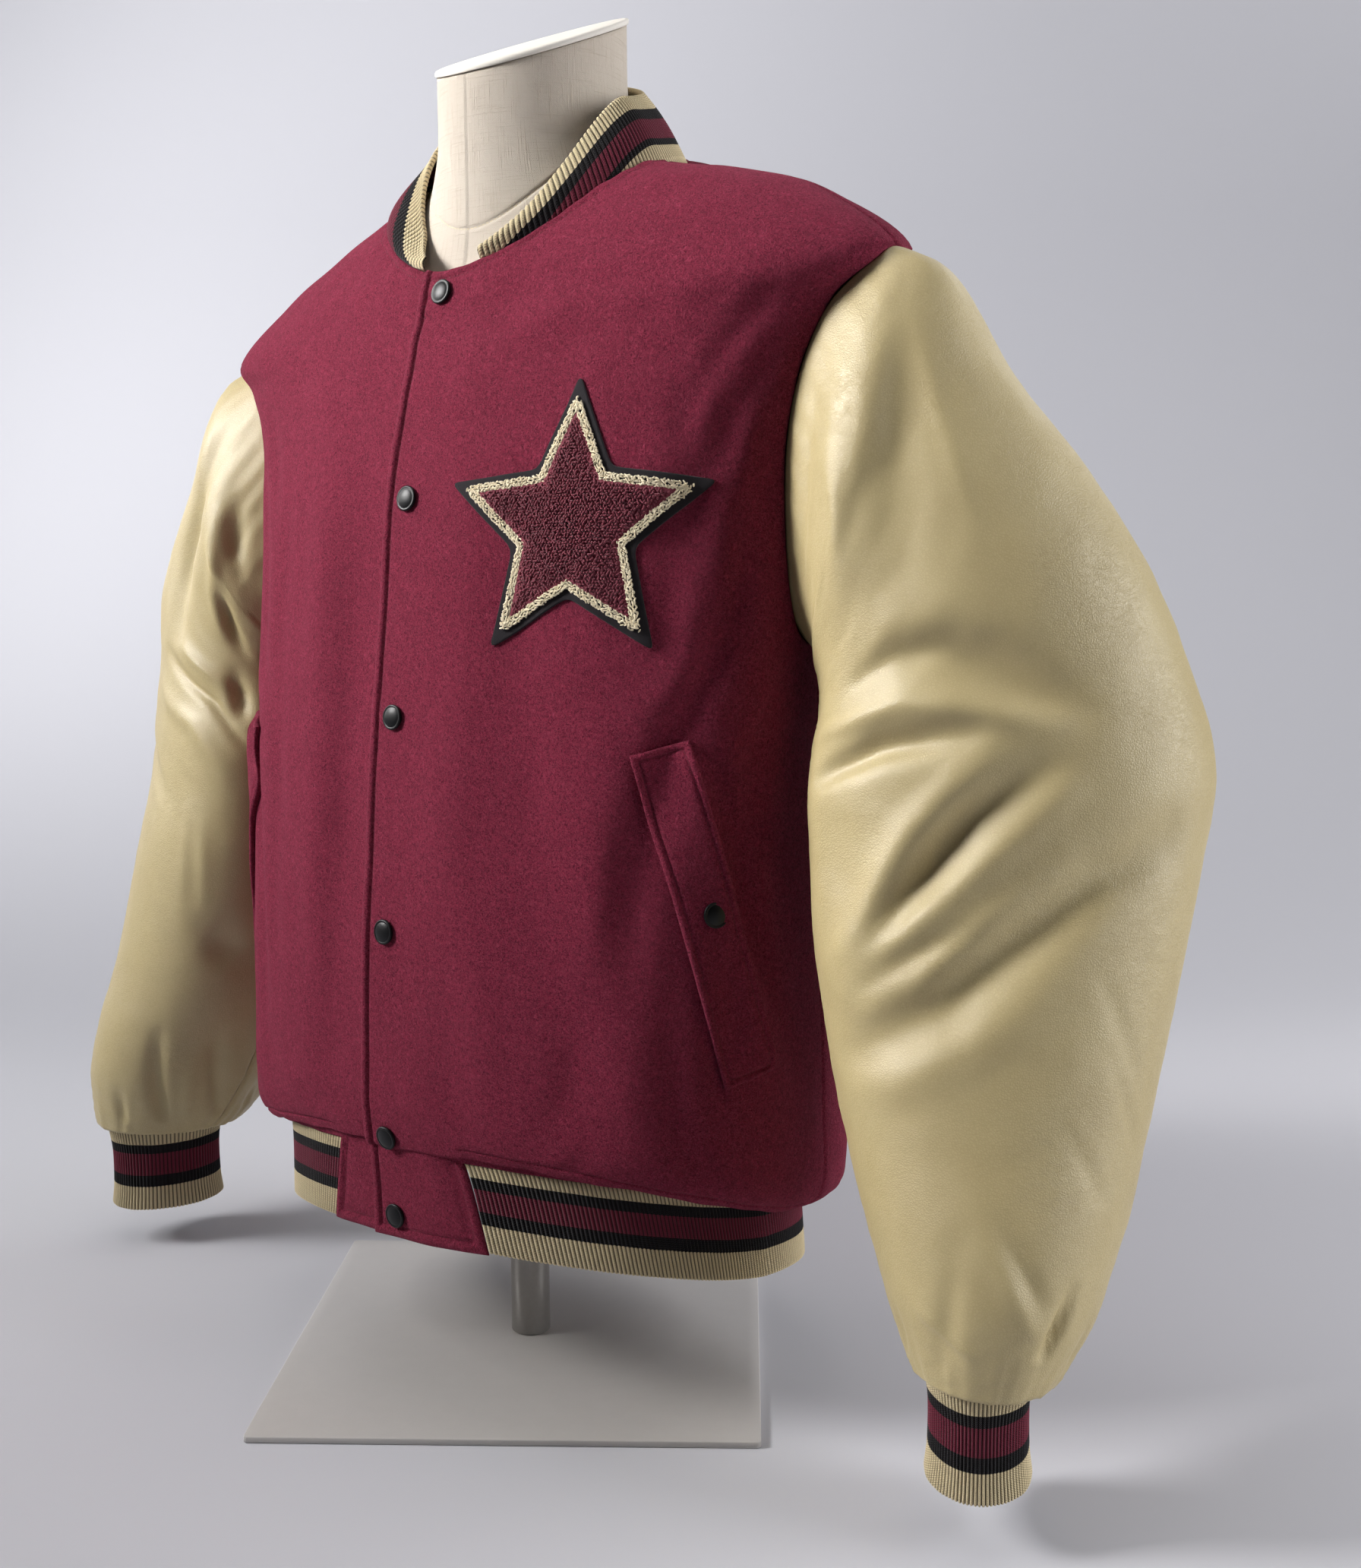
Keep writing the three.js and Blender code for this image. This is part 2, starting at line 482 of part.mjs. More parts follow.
for (const [label, side] of [['left', 1], ['right', -1]]) {
  for (const [piece, from, to, n] of [
    ['front', BACK_SEAM, UNDER_SEAM, 15], ['back', UNDER_SEAM - 360, BACK_SEAM, 9]]) {
    const phisAt = (s) => {
      const phis = steps(from + sleeveInset(s), to - sleeveInset(s), n);
      return side > 0 ? phis.reverse() : phis;
    };
    const grid = (out) => SLEEVE_ROWS.map((s) => phisAt(s).map((f) => mirrored(sleeve(f, s, out, side), side))).reverse();
    add(`sleeve_${label}_${piece}`, wall(grid(0), grid(-LEATHER)), 'leather');
  }
}

// Rib cuffs below the sleeves
const CUFF = { cx: 350, cy: -30, top: 92.2, hem: 29, long: 28, wide: 40.5, turn: 29 };
for (const [label, side] of [['left', 1], ['right', -1]]) {
  const cuffFace = (u, t, out) => {
    const swell = 1.4 * Math.sin(Math.PI * t) + out - RIB_RISE;
    const row = { ...CUFF, cz: mix(CUFF.hem, CUFF.top, t), tilt: 0, long: CUFF.long + swell, wide: CUFF.wide + swell };
    return mirrored(sleeveOval(row, -360 * u * side), side);
  };
  add(`cuff_${label}`, ribbed(cuffFace, 80, 32, [0, 1], true), 'rib');
}

// Trim that lies on a panel: a slab made of the panel's own points moved out, cut to an outline.
function toManifold(geometry) {
  const g = geometry.clone();
  g.deleteAttribute('normal');
  g.deleteAttribute('uv');
  const m = mergeVertices(g, 1e-5);
  return new wasm.Manifold(new wasm.Mesh({
    numProp: 3, vertProperties: Float32Array.from(m.attributes.position.array), triVerts: Uint32Array.from(m.index.array) }));
}
function fromManifold(m) {
  const mesh = m.getMesh();
  const g = new THREE.BufferGeometry();
  g.setAttribute('position', new THREE.BufferAttribute(Float32Array.from(mesh.vertProperties), 3));
  g.setIndex(Array.from(mesh.triVerts));
  return g;
}
function gridNormals(grid) {
  return grid.map((row, i) => row.map((p, j) => {
    const w = grid[Math.min(i + 1, grid.length - 1)][j].clone().sub(grid[Math.max(i - 1, 0)][j]);
    const u = row[Math.min(j + 1, row.length - 1)].clone().sub(row[Math.max(j - 1, 0)]);
    return u.cross(w).normalize();
  }));
}
function slab(grid, low, high, i0, i1) {
  const normals = gridNormals(grid);
  const lift = (d) => grid.map((row, i) => row.map((p, j) => p.clone().addScaledVector(normals[i][j], d)))
    .slice(i0, i1 + 1);
  return toManifold(wall(lift(high), lift(low)));
}

// A prism with the given outline, standing along the body's normal at a place.
function prism(outline, deg, v) {
  const shape = new THREE.Shape(outline.map(([x, y]) => new THREE.Vector2(x, y)));
  const g = new THREE.ExtrudeGeometry(shape, { depth: 120, bevelEnabled: false, curveSegments: 1 });
  g.translate(0, 0, -60);
  const n = normalOf(bodyRing, deg, v, 0.6, 0.06);
  const right = new THREE.Vector3(0, 0, 1).cross(n).normalize();
  const up = n.clone().cross(right);
  g.applyMatrix4(new THREE.Matrix4().makeBasis(right, up, n).setPosition(body(deg, v, 0)));
  return toManifold(g);
}
function star(radius) {
  return range(10).map((k) => {
    const r = k % 2 === 0 ? radius : radius * STAR_INNER;
    const a = (90 + 36 * k) * RAD;
    return [r * Math.cos(a), r * Math.sin(a)];
  });
}
const PATCH = { deg: 29.5, z: 533 };
const patchRow = rowAtZ(PATCH.deg, PATCH.z);
const patchSlab = (low, high) => slab(frontLeft.outer, low, high, 7, 20);
const starPrism = (r) => prism(star(r), PATCH.deg, patchRow);
add('patch_felt', fromManifold(patchSlab(SEAM, FELT).intersect(starPrism(STAR_R + 5))), 'felt');
add('patch_cord', fromManifold(patchSlab(FELT + SEAM, FELT + 2.6)
  .intersect(starPrism(STAR_R)).subtract(starPrism(STAR_R - 7))), 'cord');
add('patch_chenille', fromManifold(patchSlab(FELT + SEAM, FELT + CHENILLE)
  .intersect(starPrism(STAR_R - 7.7))), 'chenille');

// Pocket welts, leaning with the pocket's mouth
const WELT = { length: 196, width: 33, deg: 63.5, z: 316, lean: 14.5 };
const weltOutline = (side) => {
  const c = Math.cos(WELT.lean * RAD);
  const s = Math.sin(WELT.lean * RAD) * side;
  return [[-1, -1], [1, -1], [1, 1], [-1, 1]].map(([a, b]) => {
    const x = a * WELT.width / 2;
    const y = b * WELT.length / 2;
    return [x * c - y * s * -1, -x * s * -1 * -1 + y * c];
  });
};
const welts = {};
for (const [label, side, front] of [['left', 1, frontLeft], ['right', -1, frontRight]]) {
  const deg = side * WELT.deg;
  const v = rowAtZ(deg, WELT.z);
  welts[label] = add(`welt_${label}`, fromManifold(slab(front.outer, SEAM, SEAM + WELT_RISE, 3, 14)
    .intersect(prism(weltOutline(-side), deg, v))), 'wool');
}

// Domed snap caps
function snapCap(name, at, normal) {
  const profile = [[0, 0], [SNAP_R, 0], [SNAP_R, 0.8], [SNAP_R * 0.72, 2.1], [0, SNAP_H]];
  const g = new THREE.LatheGeometry(profile.map(([r, y]) => new THREE.Vector2(r, y)), 16);
  g.rotateX(Math.PI / 2);
  const mesh = add(name, g, 'snap');
  mesh.position.copy(at);
  mesh.quaternion.setFromUnitVectors(new THREE.Vector3(0, 0, 1), normal);
  mesh.updateMatrix();
}
// A cap's place: just above the highest that the cloth under it stands, along the cap's axis.
function seat(cloth, deg, v, lift) {
  const normal = normalOf((a, b) => body(a, b, lift), deg, v, 1.6, 0.1);
  const centre = body(deg, v, lift);
  const frame = new THREE.Matrix4().compose(
    centre, new THREE.Quaternion().setFromUnitVectors(new THREE.Vector3(0, 0, 1), normal), new THREE.Vector3(1, 1, 1));
  const disc = new THREE.CylinderGeometry(SNAP_R + 0.3, SNAP_R + 0.3, 24, 24);
  disc.rotateX(Math.PI / 2);
  const local = cloth.geometry.clone().applyMatrix4(frame.clone().invert());
  const top = toManifold(local).intersect(toManifold(disc)).boundingBox().max[2];
  return { at: centre.addScaledVector(normal, top + SEAM), normal };
}
const SNAP_HEIGHTS = [672, 550, 422, 295, 170, 119];
SNAP_HEIGHTS.forEach((z, k) => {
  const v = rowAtZ(0, z);
  const s = seat(frontLeft.mesh, 0, v, LAP_RISE);
  snapCap(`snap_front_${k + 1}`, s.at, s.normal);
});
for (const [label, side] of [['left', 1], ['right', -1]]) {
  const deg = side * (WELT.deg + 1.5);
  const s = seat(welts[label], deg, rowAtZ(deg, WELT.z + 2), WELT_RISE + SEAM);
  snapCap(`snap_pocket_${label}`, s.at, s.normal);
}

// Dress form: torso and neck in one, closed, with a slanting neck cap
const FORM = [
  { half: 158, front: -84, back: 112, mid: 12, zFront: FORM_FLOOR, zSide: FORM_FLOOR, zBack: FORM_FLOOR, power: 2.1 },
  { half: 163, front: -86, back: 116, mid: 12, zFront: 250, zSide: 250, zBack: 250, power: 2.1 },
  { half: 150, front: -76, back: 100, mid: 10, zFront: 360, zSide: 360, zBack: 360, power: 2.1 },
  { half: 160, front: -80, back: 112, mid: 12, zFront: 470, zSide: 470, zBack: 470, power: 2.1 },
  { half: 174, front: -78, back: 122, mid: 14, zFront: 560, zSide: 570, zBack: 570, power: 2.15 },
  { half: 186, front: -70, back: 120, mid: 17, zFront: 605, zSide: 630, zBack: 635, power: 2.15 },
  { half: 190, front: -62, back: 113, mid: 20, zFront: 633, zSide: 664, zBack: 684, power: 2.15 },
  { half: 184, front: -58, back: 109, mid: 21, zFront: 650, zSide: 688, zBack: 710, power: 2.15 },
];
const formRing = (r, deg) => {
  const s = Math.sin(deg * RAD);
  const c = Math.cos(deg * RAD);
  const depth = c > 0 ? r.mid - r.front : r.back - r.mid;
  return new THREE.Vector3(r.half * spow(s, 2 / r.power), r.mid - depth * spow(c, 2 / r.power),
    mix(r.zSide, c > 0 ? r.zFront : r.zBack, c * c));
};
const NECK_R = 59;
const NECK_Y = 22;
const FORM_NECK = [
  { half: 87, front: -43, back: 90, mid: 20, zFront: 684, zSide: 739, zBack: 766, power: 2.0 },
  { half: 71, front: -38, back: 85, mid: 21, zFront: 706, zSide: 756, zBack: 788, power: 2.0 },
  { half: 62, front: -37, back: 82, mid: 22, zFront: 737, zSide: 777, zBack: 804, power: 2.0 },
];
const neckRing = (r, low, slope, deg) => {
  const y = NECK_Y - r * Math.cos(deg * RAD);
  return new THREE.Vector3(r * Math.sin(deg * RAD), y, low + slope * (y - NECK_Y));
};
const FORM_COLS = 26;
const formDegs = range(FORM_COLS).map((k) => 360 * k / FORM_COLS);
const formRows = [
  ...FORM.map((r) => formDegs.map((d) => formRing(r, d))),
  ...FORM_UNDER.map(([v, ease]) => formDegs.map((d) => bodyBase(d, v, -WOOL - ease))),
  ...FORM_NECK.map((r) => formDegs.map((d) => formRing(r, d))),
  formDegs.map((d) => neckRing(NECK_R, 795, 0.42, d)),
  formDegs.map((d) => neckRing(NECK_R, 828, 0.42, d)),
];
function tube(rows) {
  const points = rows.flat();
  const n = rows[0].length;
  const tri = [];
  for (let i = 0; i < rows.length - 1; i++) {
    for (let j = 0; j < n; j++) {
      const k = (j + 1) % n;
      tri.push(i * n + j, i * n + k, (i + 1) * n + k, i * n + j, (i + 1) * n + k, (i + 1) * n + j);
    }
  }
  const centre = (row) => row.reduce((a, p) => a.add(p), new THREE.Vector3()).divideScalar(n);
  points.push(centre(rows[0]), centre(rows.at(-1)));
  const top = (rows.length - 1) * n;
  for (let j = 0; j < n; j++) {
    const k = (j + 1) % n;
    tri.push(points.length - 2, k, j, points.length - 1, top + j, top + k);
  }
  return solid(points, tri);
}
add('form_torso', tube(formRows), 'linen');
add('form_neck_cap', tube([
  formDegs.map((d) => neckRing(NECK_R - 0.6, 828.4, 0.42, d)),
  formDegs.map((d) => neckRing(NECK_R + 1.2, 829.4, 0.42, d)),
  formDegs.map((d) => neckRing(NECK_R + 1.2, 828.4 + CAP_T, 0.42, d)),
  formDegs.map((d) => neckRing(NECK_R - 0.8, 829.6 + CAP_T, 0.42, d))]), 'cap');

// Stand
const poleLow = PLATE_T + 0.3;
const pole = new THREE.CylinderGeometry(POLE_R, POLE_R, FORM_FLOOR - 0.3 - poleLow, 32);
pole.rotateX(Math.PI / 2);
pole.translate(0, 0, (FORM_FLOOR - 0.3 + poleLow) / 2);
add('pole', pole, 'steel');
const plate = add('base_plate', new THREE.BoxGeometry(PLATE_SIDE, PLATE_SIDE, PLATE_T), 'steel');
plate.position.set(0, 0, PLATE_T / 2);
plate.rotation.z = PLATE_TURN * RAD;

export default group;
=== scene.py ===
"""Looks of a wool and leather varsity jacket worn by a limbless dress form on a stand.

Lengths are in millimetres up to mesh_piece(), which turns them into metres. The rings of the body,
sleeves and form and the body's main folds are those of the solids, so each shell lies on its solid's
form. The creases are finer than the solids' folds.
"""

import math

import bpy
import numpy as np
from mathutils import Matrix, Vector


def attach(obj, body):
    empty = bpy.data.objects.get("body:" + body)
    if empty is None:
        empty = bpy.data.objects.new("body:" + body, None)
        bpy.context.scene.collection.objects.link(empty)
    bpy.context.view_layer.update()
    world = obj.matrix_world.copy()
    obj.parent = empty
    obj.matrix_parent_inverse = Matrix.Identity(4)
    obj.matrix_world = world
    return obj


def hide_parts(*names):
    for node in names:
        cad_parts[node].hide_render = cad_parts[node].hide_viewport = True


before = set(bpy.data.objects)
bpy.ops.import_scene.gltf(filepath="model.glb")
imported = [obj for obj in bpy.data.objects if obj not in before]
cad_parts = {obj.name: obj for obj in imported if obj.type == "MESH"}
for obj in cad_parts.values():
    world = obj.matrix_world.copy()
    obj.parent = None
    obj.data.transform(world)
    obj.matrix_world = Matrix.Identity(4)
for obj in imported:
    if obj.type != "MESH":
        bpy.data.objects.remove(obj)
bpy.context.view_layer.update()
rng = np.random.default_rng(11)

RAD = math.pi / 180
SIDES = ((1, "left"), (-1, "right"))


def clamp01(x):
    return np.clip(x, 0.0, 1.0)


def mix(a, b, t):
    return a + (b - a) * t


def smooth(a, b, x):
    t = clamp01((np.asarray(x, float) - a) / (b - a))
    return t * t * (3 - 2 * t)


def spow(x, p):
    return np.sign(x) * np.abs(x) ** p


def unit(v):
    return v / np.maximum(np.linalg.norm(v, axis=-1, keepdims=True), 1e-12)


def through(a, b, c, d, f):
    """A smooth line's point between b and c; a is the knot before and d the one after."""
    return b + 0.5 * f * (c - a + f * (2 * a - 5 * b + 4 * c - d + f * (3 * (b - c) + d - a)))


def spline(rows, t):
    """Smooth lines through the rows of a table (rows first), read at any row numbers."""
    rows = np.asarray(rows, float)
    n = len(rows) - 1
    t = np.asarray(t, float)
    i = np.clip(np.floor(t).astype(int), 0, n - 1)
    f = (t - i).reshape(t.shape + (1,) * (rows.ndim - 1))
    b, c = rows[i], rows[i + 1]
    a = np.where((i > 0).reshape(f.shape), rows[np.maximum(i - 1, 0)], 2 * b - c)
    d = np.where((i + 2 <= n).reshape(f.shape), rows[np.minimum(i + 2, n)], 2 * c - b)
    return through(a, b, c, d, f)


# Rings round the body, in mm: half width; y of the front, back and widest point; height at the
# front, side and back; squareness; how narrow the front's height is; how much higher the
# wearer's left side hangs.
BODY_COLUMNS = ("half", "front", "back", "mid", "z_front", "z_side", "z_back", "power", "reach", "lean")
BODY = (
    # half front back mid zf zs zb power reach lean
    (189, -115, 146, 8, 104, 75, 52, 2.2, 1, 9),      # band hem
    (187, -118, 146, 8, 160, 127, 106, 2.2, 1, 9),    # band seam
    (201, -121, 153, 8, 166, 119, 94, 2.3, 1, 9),     # blouse edge
    (213, -123, 157, 8, 180, 135, 110, 2.4, 1, 9),    # blouse
    (214, -123, 156, 8, 214, 183, 166, 2.4, 1, 9),    # low
    (211, -119, 150, 7, 295, 281, 270, 2.45, 1, 8),   # hip
    (210, -112, 144, 6, 375, 371, 368, 2.5, 2, 7),    # waist
    (210, -106, 141, 6, 428, 422, 428, 2.5, 2, 6),    # under arm
    (212, -101, 140, 7, 466, 456, 470, 2.45, 2, 6),   # armpit
    (216, -91, 137, 10, 548, 545, 560, 2.3, 2, 7),    # chest
    (227, -79, 133, 14, 600, 600, 624, 2.25, 2, 8),   # high chest
    (245, -70, 126, 18, 632, 641, 668, 2.2, 2, 9),    # yoke
    (264, -64, 119, 22, 651, 668, 704, 2.2, 2, 11),   # shoulder tip
    (212, -60, 114, 22, 665, 706, 735, 2.15, 2, 13),  # shoulder
    (158, -57, 110, 21, 676, 728, 762, 2.1, 2, 11),   # by the neck
    (104, -53, 106, 20, 686, 745, 777, 2.0, 2, 5),    # neckline
)
ARMPIT, TIP, NECK = 8, 12, 15
BODY_MM = (3.1, 42)    # about how many mm of cloth a degree and a row of the body are
ARM_MM = (1.45, 42)    # the same for a sleeve

# Main folds of the body, as in the solids. deg0, v0 to deg1, v1; width and depth in mm.
BODY_FOLDS = (
    (70, 8.9, 40, 4.2, 13, -3.0), (60, 7.6, 24, 2.8, 12, -2.2), (82, 7.2, 62, 3.4, 11, -2.6),
    (66, 10.4, 46, 7.6, 14, -2.4), (24, 10.8, 16, 5.2, 15, -1.6), (-70, 8.9, -38, 4.6, 13, -3.0),
    (-62, 10.4, -40, 7.4, 14, -2.6), (-56, 7.4, -30, 2.8, 12, -2.0), (-84, 7.0, -66, 3.2, 11, -2.6),
    (122, 9.2, 140, 4.4, 15, -3.2), (112, 7.6, 120, 3.2, 12, -2.6), (160, 9.6, 163, 3.6, 16, -2.2),
    (-126, 9.4, -144, 4.2, 15, -3.0), (-114, 7.4, -124, 3.0, 12, -2.8), (-168, 9.2, -172, 3.4, 16, -2.0),
)


def fold_sum(folds, deg, v, per_deg, per_row):
    """Sum of soft troughs (depth below 0) and ridges, each from one place to another."""
    total = np.zeros(np.broadcast(deg, v).shape)
    for deg0, v0, deg1, v1, width, depth in folds:
        dx = deg - deg0
        dx = dx - 360 * np.round(dx / 360)
        ax, ay = (deg1 - deg0) * per_deg, (v1 - v0) * per_row
        px, py = dx * per_deg, (v - v0) * per_row
        t = clamp01((px * ax + py * ay) / (ax * ax + ay * ay))
        d2 = (px - t * ax) ** 2 + (py - t * ay) ** 2
        total = total + depth * (0.45 + 0.55 * np.sin(math.pi * t)) * np.exp(-d2 / (width * width))
    return total


def crease_sum(lines, deg, v, per_deg, per_row):
    """Sum of soft troughs and ridges along lines of places: width and depth in mm, then the places."""
    shape = np.broadcast(deg, v).shape
    total = np.zeros(shape)
    for width, depth, *places in lines:
        places = np.array(places, float)
        flat = (places - places[0]) * (per_deg, per_row)
        steps = np.linalg.norm(np.diff(flat, axis=0), axis=1)
        ends = np.concatenate([[0], np.cumsum(steps)])
        dx = deg - places[0, 0]
        dx = (dx - 360 * np.round((dx - (places[-1, 0] - places[0, 0]) / 2) / 360)) * per_deg
        dy = (v - places[0, 1]) * per_row
        best, along = np.full(shape, np.inf), np.zeros(shape)
        for p, q, start, size in zip(flat[:-1], flat[1:], ends, steps):
            e = (q - p) / size
            t = np.clip((dx - p[0]) * e[0] + (dy - p[1]) * e[1], 0, size)
            d2 = (dx - p[0] - t * e[0]) ** 2 + (dy - p[1] - t * e[1]) ** 2
            nearer = d2 < best
            best, along = np.where(nearer, d2, best), np.where(nearer, start + t, along)
        fade = 0.35 + 0.65 * np.sin(math.pi * along / ends[-1])
        total = total + depth * fade * np.exp(-best / (width * width))
    return total


def body_ring(deg, v):
    deg, v = np.broadcast_arrays(np.asarray(deg, float), np.asarray(v, float))
    r = dict(zip(BODY_COLUMNS, np.moveaxis(spline(BODY, v), -1, 0)))
    s, c = np.sin(deg * RAD), np.cos(deg * RAD)
    e = 2 / r["power"]
    depth = np.where(c > 0, r["mid"] - r["front"], r["back"] - r["mid"])
    z_end = np.where(c > 0, r["z_front"], r["z_back"])
    x = r["half"] * spow(s, e)
    z = mix(r["z_side"], z_end, np.abs(c) ** r["reach"]) + r["lean"] * x / 200
    return np.stack([x, r["mid"] - depth * spow(c, e), z], -1)


def normal_of(fn, a, b, da, db):
    u = fn(a + da, b) - fn(a - da, b)
    w = fn(a, b + db) - fn(a, b - db)
    return unit(np.cross(u, w))


def body_normal(deg, v):
    return normal_of(body_ring, np.asarray(deg, float), np.asarray(v, float), 0.6, 0.06)


def body_base(deg, v, out):
    return body_ring(deg, v) + body_normal(deg, v) * np.asarray(out)[..., None]


def body(deg, v, out=0.0):
    return body_base(deg, v, out + fold_sum(BODY_FOLDS, deg, v, *BODY_MM))


def deg_at_x(x, v):
    r = spline(BODY, np.asarray(v, float))
    return np.sign(x) * np.arcsin(np.minimum(1, np.abs(x) / r[..., 0]) ** (r[..., 7] / 2)) / RAD


def row_at_z(deg, z):
    lo, hi = np.zeros(np.shape(z)), np.full(np.shape(z), float(NECK))
    for _ in range(40):
        m = (lo + hi) / 2
        below = body_ring(deg, m)[..., 2] < z
        lo, hi = np.where(below, m, lo), np.where(below, hi, m)
    return (lo + hi) / 2


# The side seam, and how far the armhole reaches before and behind it, in degrees
SIDE = 96
HOLE_FRONT, HOLE_BACK = 17, 27


def seam_deg(v):
    return mix(SIDE, 90, smooth(ARMPIT, TIP, v))


def armhole(phi, inset=0.0):
    """A point of the armhole; phi from the shoulder tip by the front (90) and armpit (180)."""
    mid, reach = (ARMPIT + TIP) / 2, (TIP - ARMPIT) / 2 - inset / 52
    v = mid + reach * np.cos(phi * RAD)
    s = np.sin(phi * RAD)
    width = np.where(s > 0, HOLE_FRONT, HOLE_BACK) - inset / 3.3
    return seam_deg(v) - width * spow(s, 0.92), v


def armhole_edge(v, front):
    c = np.clip((v - (ARMPIT + TIP) / 2) / ((TIP - ARMPIT) / 2), -1, 1)
    s = np.sqrt(1 - c * c) ** 0.92
    return seam_deg(v) + (-HOLE_FRONT if front else HOLE_BACK) * s


def edge_deg(v, front):
    v = np.asarray(v, float)
    return np.where((v <= ARMPIT) | (v >= TIP), seam_deg(v), armhole_edge(v, front))


# Sleeve rings, in mm: centre; how far the outer side is raised; half sizes of the oval; turn.
SLEEVE = (
    (257, 28, 558, 72, 113, 62, 0),
    (271, 32, 530, 59, 98, 67, 4),
    (290, 38, 500, 44, 95, 69, 14),
    (307, 41, 467, 28, 98, 69, 24),
    (318, 43, 430, 14, 105, 67, 32),
    (326, 41, 393, 5, 111, 66, 34),
    (326, 36, 350, 0, 107, 67, 34),
    (327, 28, 305, 0, 101, 70, 32),
    (330, 20, 255, 0, 92, 72, 30),
    (334, 12, 212, 0, 83, 73, 28),
    (340, 3, 172, 0, 72, 74, 26),
    (345, -6, 138, 0, 59, 70, 26),
    (348, -13, 116, 0, 50, 62, 28),
    (349, -18, 102, 0, 43, 56, 29),
    (350, -22, 93, 0, 38, 51, 29),
    (350, -26, 89, 0, 34.5, 47, 29),
    (350, -29.7, 93.6, 0, 29.8, 42.4, 29),
)
CUFF_ROW = len(SLEEVE)
# Folds of the sleeves' hidden sides: phi0, row0 to phi1, row1; width and depth in mm.
SLEEVE_FOLDS = (
    (250, 1.0, 244, 4.4, 13, -5), (300, 4.2, 238, 6.2, 12, -4.5), (310, 6.8, 240, 8.2, 12, -5),
    (300, 9.4, 232, 10.4, 12, -4.5), (290, 11.6, 230, 12.4, 11, -3.5), (330, 13.6, 338, 11.6, 8, -4),
    (210, 13.6, 204, 12.0, 8, -3.5), (262, 2.2, 240, 5.4, 11, -2.4), (285, 5.4, 226, 7.0, 10, 2.2),
    (320, 7.6, 258, 9.2, 11, 2.0), (306, 10.6, 248, 11.2, 10, -2.2), (196, 3.0, 200, 6.0, 12, -3.0),
)
ARM_STEP = 15
ARM_STEPS = 360 // ARM_STEP
DROP = 22  # how much lower the wearer's right sleeve starts


def sleeve_oval(row, phi):
    """Points of an oval; row holds cx, cy, cz, tilt, long, wide, turn in its last axis."""
    cx, cy, cz, tilt, long, wide, turn = np.moveaxis(np.asarray(row, float), -1, 0)
    a, t = (phi + turn) * RAD, turn * RAD
    p, q = long * np.cos(a), wide * np.sin(a)
    outward = p * np.cos(t) + q * np.sin(t)
    forward = -p * np.sin(t) + q * np.cos(t)
    return np.stack([cx + outward * np.cos(tilt * RAD), cy - forward, cz + outward * np.sin(tilt * RAD)], -1)


def mirrored(p, side):
    return p * np.array([side, 1.0, 1.0])


ARM_PHI = np.arange(0, 361, ARM_STEP, dtype=float)


def arm_knots(side):
    deg, v = armhole(ARM_PHI, 0.42)
    return mirrored(body(side * deg, v), side), mirrored(body_normal(side * deg, v), side)


ARM_KNOTS = {side: arm_knots(side) for side in (1, -1)}


def arm_edge(phi, side, which):
    """The armhole's edge (which 0) or the cloth's normal there (1), by smooth steps."""
    t = np.mod(phi, 360) / ARM_STEP
    k = np.clip(np.floor(t).astype(int), 0, ARM_STEPS - 1)
    knots = ARM_KNOTS[side][which]
    f = (t - k)[..., None]
    return through(*(knots[(k + i) % ARM_STEPS] for i in (-1, 0, 1, 2)), f)


def sleeve_ring(phi, s, side):
    phi, s = np.broadcast_arrays(np.asarray(phi, float), np.asarray(s, float))
    rows = [arm_edge(phi, side, 0)]
    for i, r in enumerate(SLEEVE):
        p = sleeve_oval(r, phi)
        if side < 0:
            p[..., 2] -= DROP * (1 - smooth(0, 7, i + 1)) * smooth(430, 600, p[..., 2])
        rows.append(p)
    rows = np.stack(rows)
    n = len(rows) - 1
    i = np.clip(np.floor(s).astype(int), 0, n - 1)
    f = (s - i)[..., None]

    def at(k):
        return np.take_along_axis(rows, np.clip(k, 0, n)[None, ..., None], 0)[0]
    b, c = at(i), at(i + 1)
    a = np.where((i > 0)[..., None], at(i - 1), 2 * b - c)
    d = np.where((i + 2 <= n)[..., None], at(i + 2), 2 * c - b)
    return through(a, b, c, d, f)


def sleeve_dir(phi, s, side):
    inside = np.clip(s, 0.03, CUFF_ROW - 0.03)
    n = normal_of(lambda a, b: sleeve_ring(a, b, side), phi, inside, 0.8, 0.03)
    root = arm_edge(phi, side, 1) * (1 - smooth(0, 0.5, s))[..., None]
    return unit(root + n * smooth(-0.35, 0.5, s)[..., None])


def sleeve(phi, s, out, side, creases):
    phi, s = np.broadcast_arrays(np.asarray(phi, float), np.asarray(s, float))
    fade = smooth(0.1, 0.9, s) * (1 - smooth(CUFF_ROW - 2, CUFF_ROW - 0.8, s))
    fold = fold_sum(SLEEVE_FOLDS, phi, s, *ARM_MM) + crease_sum(creases, phi, s, *ARM_MM)
    return sleeve_ring(phi, s, side) + sleeve_dir(phi, s, side) * (out + fade * fold)[..., None]


# Meshes
def mesh_piece(name, points, faces, material, slot, replaces=(), uv=None):
    """A piece in mm turned into a Blender object in metres that rides on the body."""
    mesh = bpy.data.meshes.new(name)
    mesh.from_pydata((np.asarray(points) * 0.001).tolist(), [], [list(f) for f in faces])
    mesh.polygons.foreach_set("use_smooth", [True] * len(mesh.polygons))
    if uv is not None:
        index = np.zeros(len(mesh.loops), np.int32)
        mesh.loops.foreach_get("vertex_index", index)
        mesh.uv_layers.new(name="UVMap").data.foreach_set("uv", np.asarray(uv, np.float32)[index].ravel())
    mesh.update()
    obj = bpy.data.objects.new(name, mesh)
    bpy.context.scene.collection.objects.link(obj)
    mesh.materials.append(material)
    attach(obj, "root")
    if replaces:
        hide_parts(*replaces)
    return obj


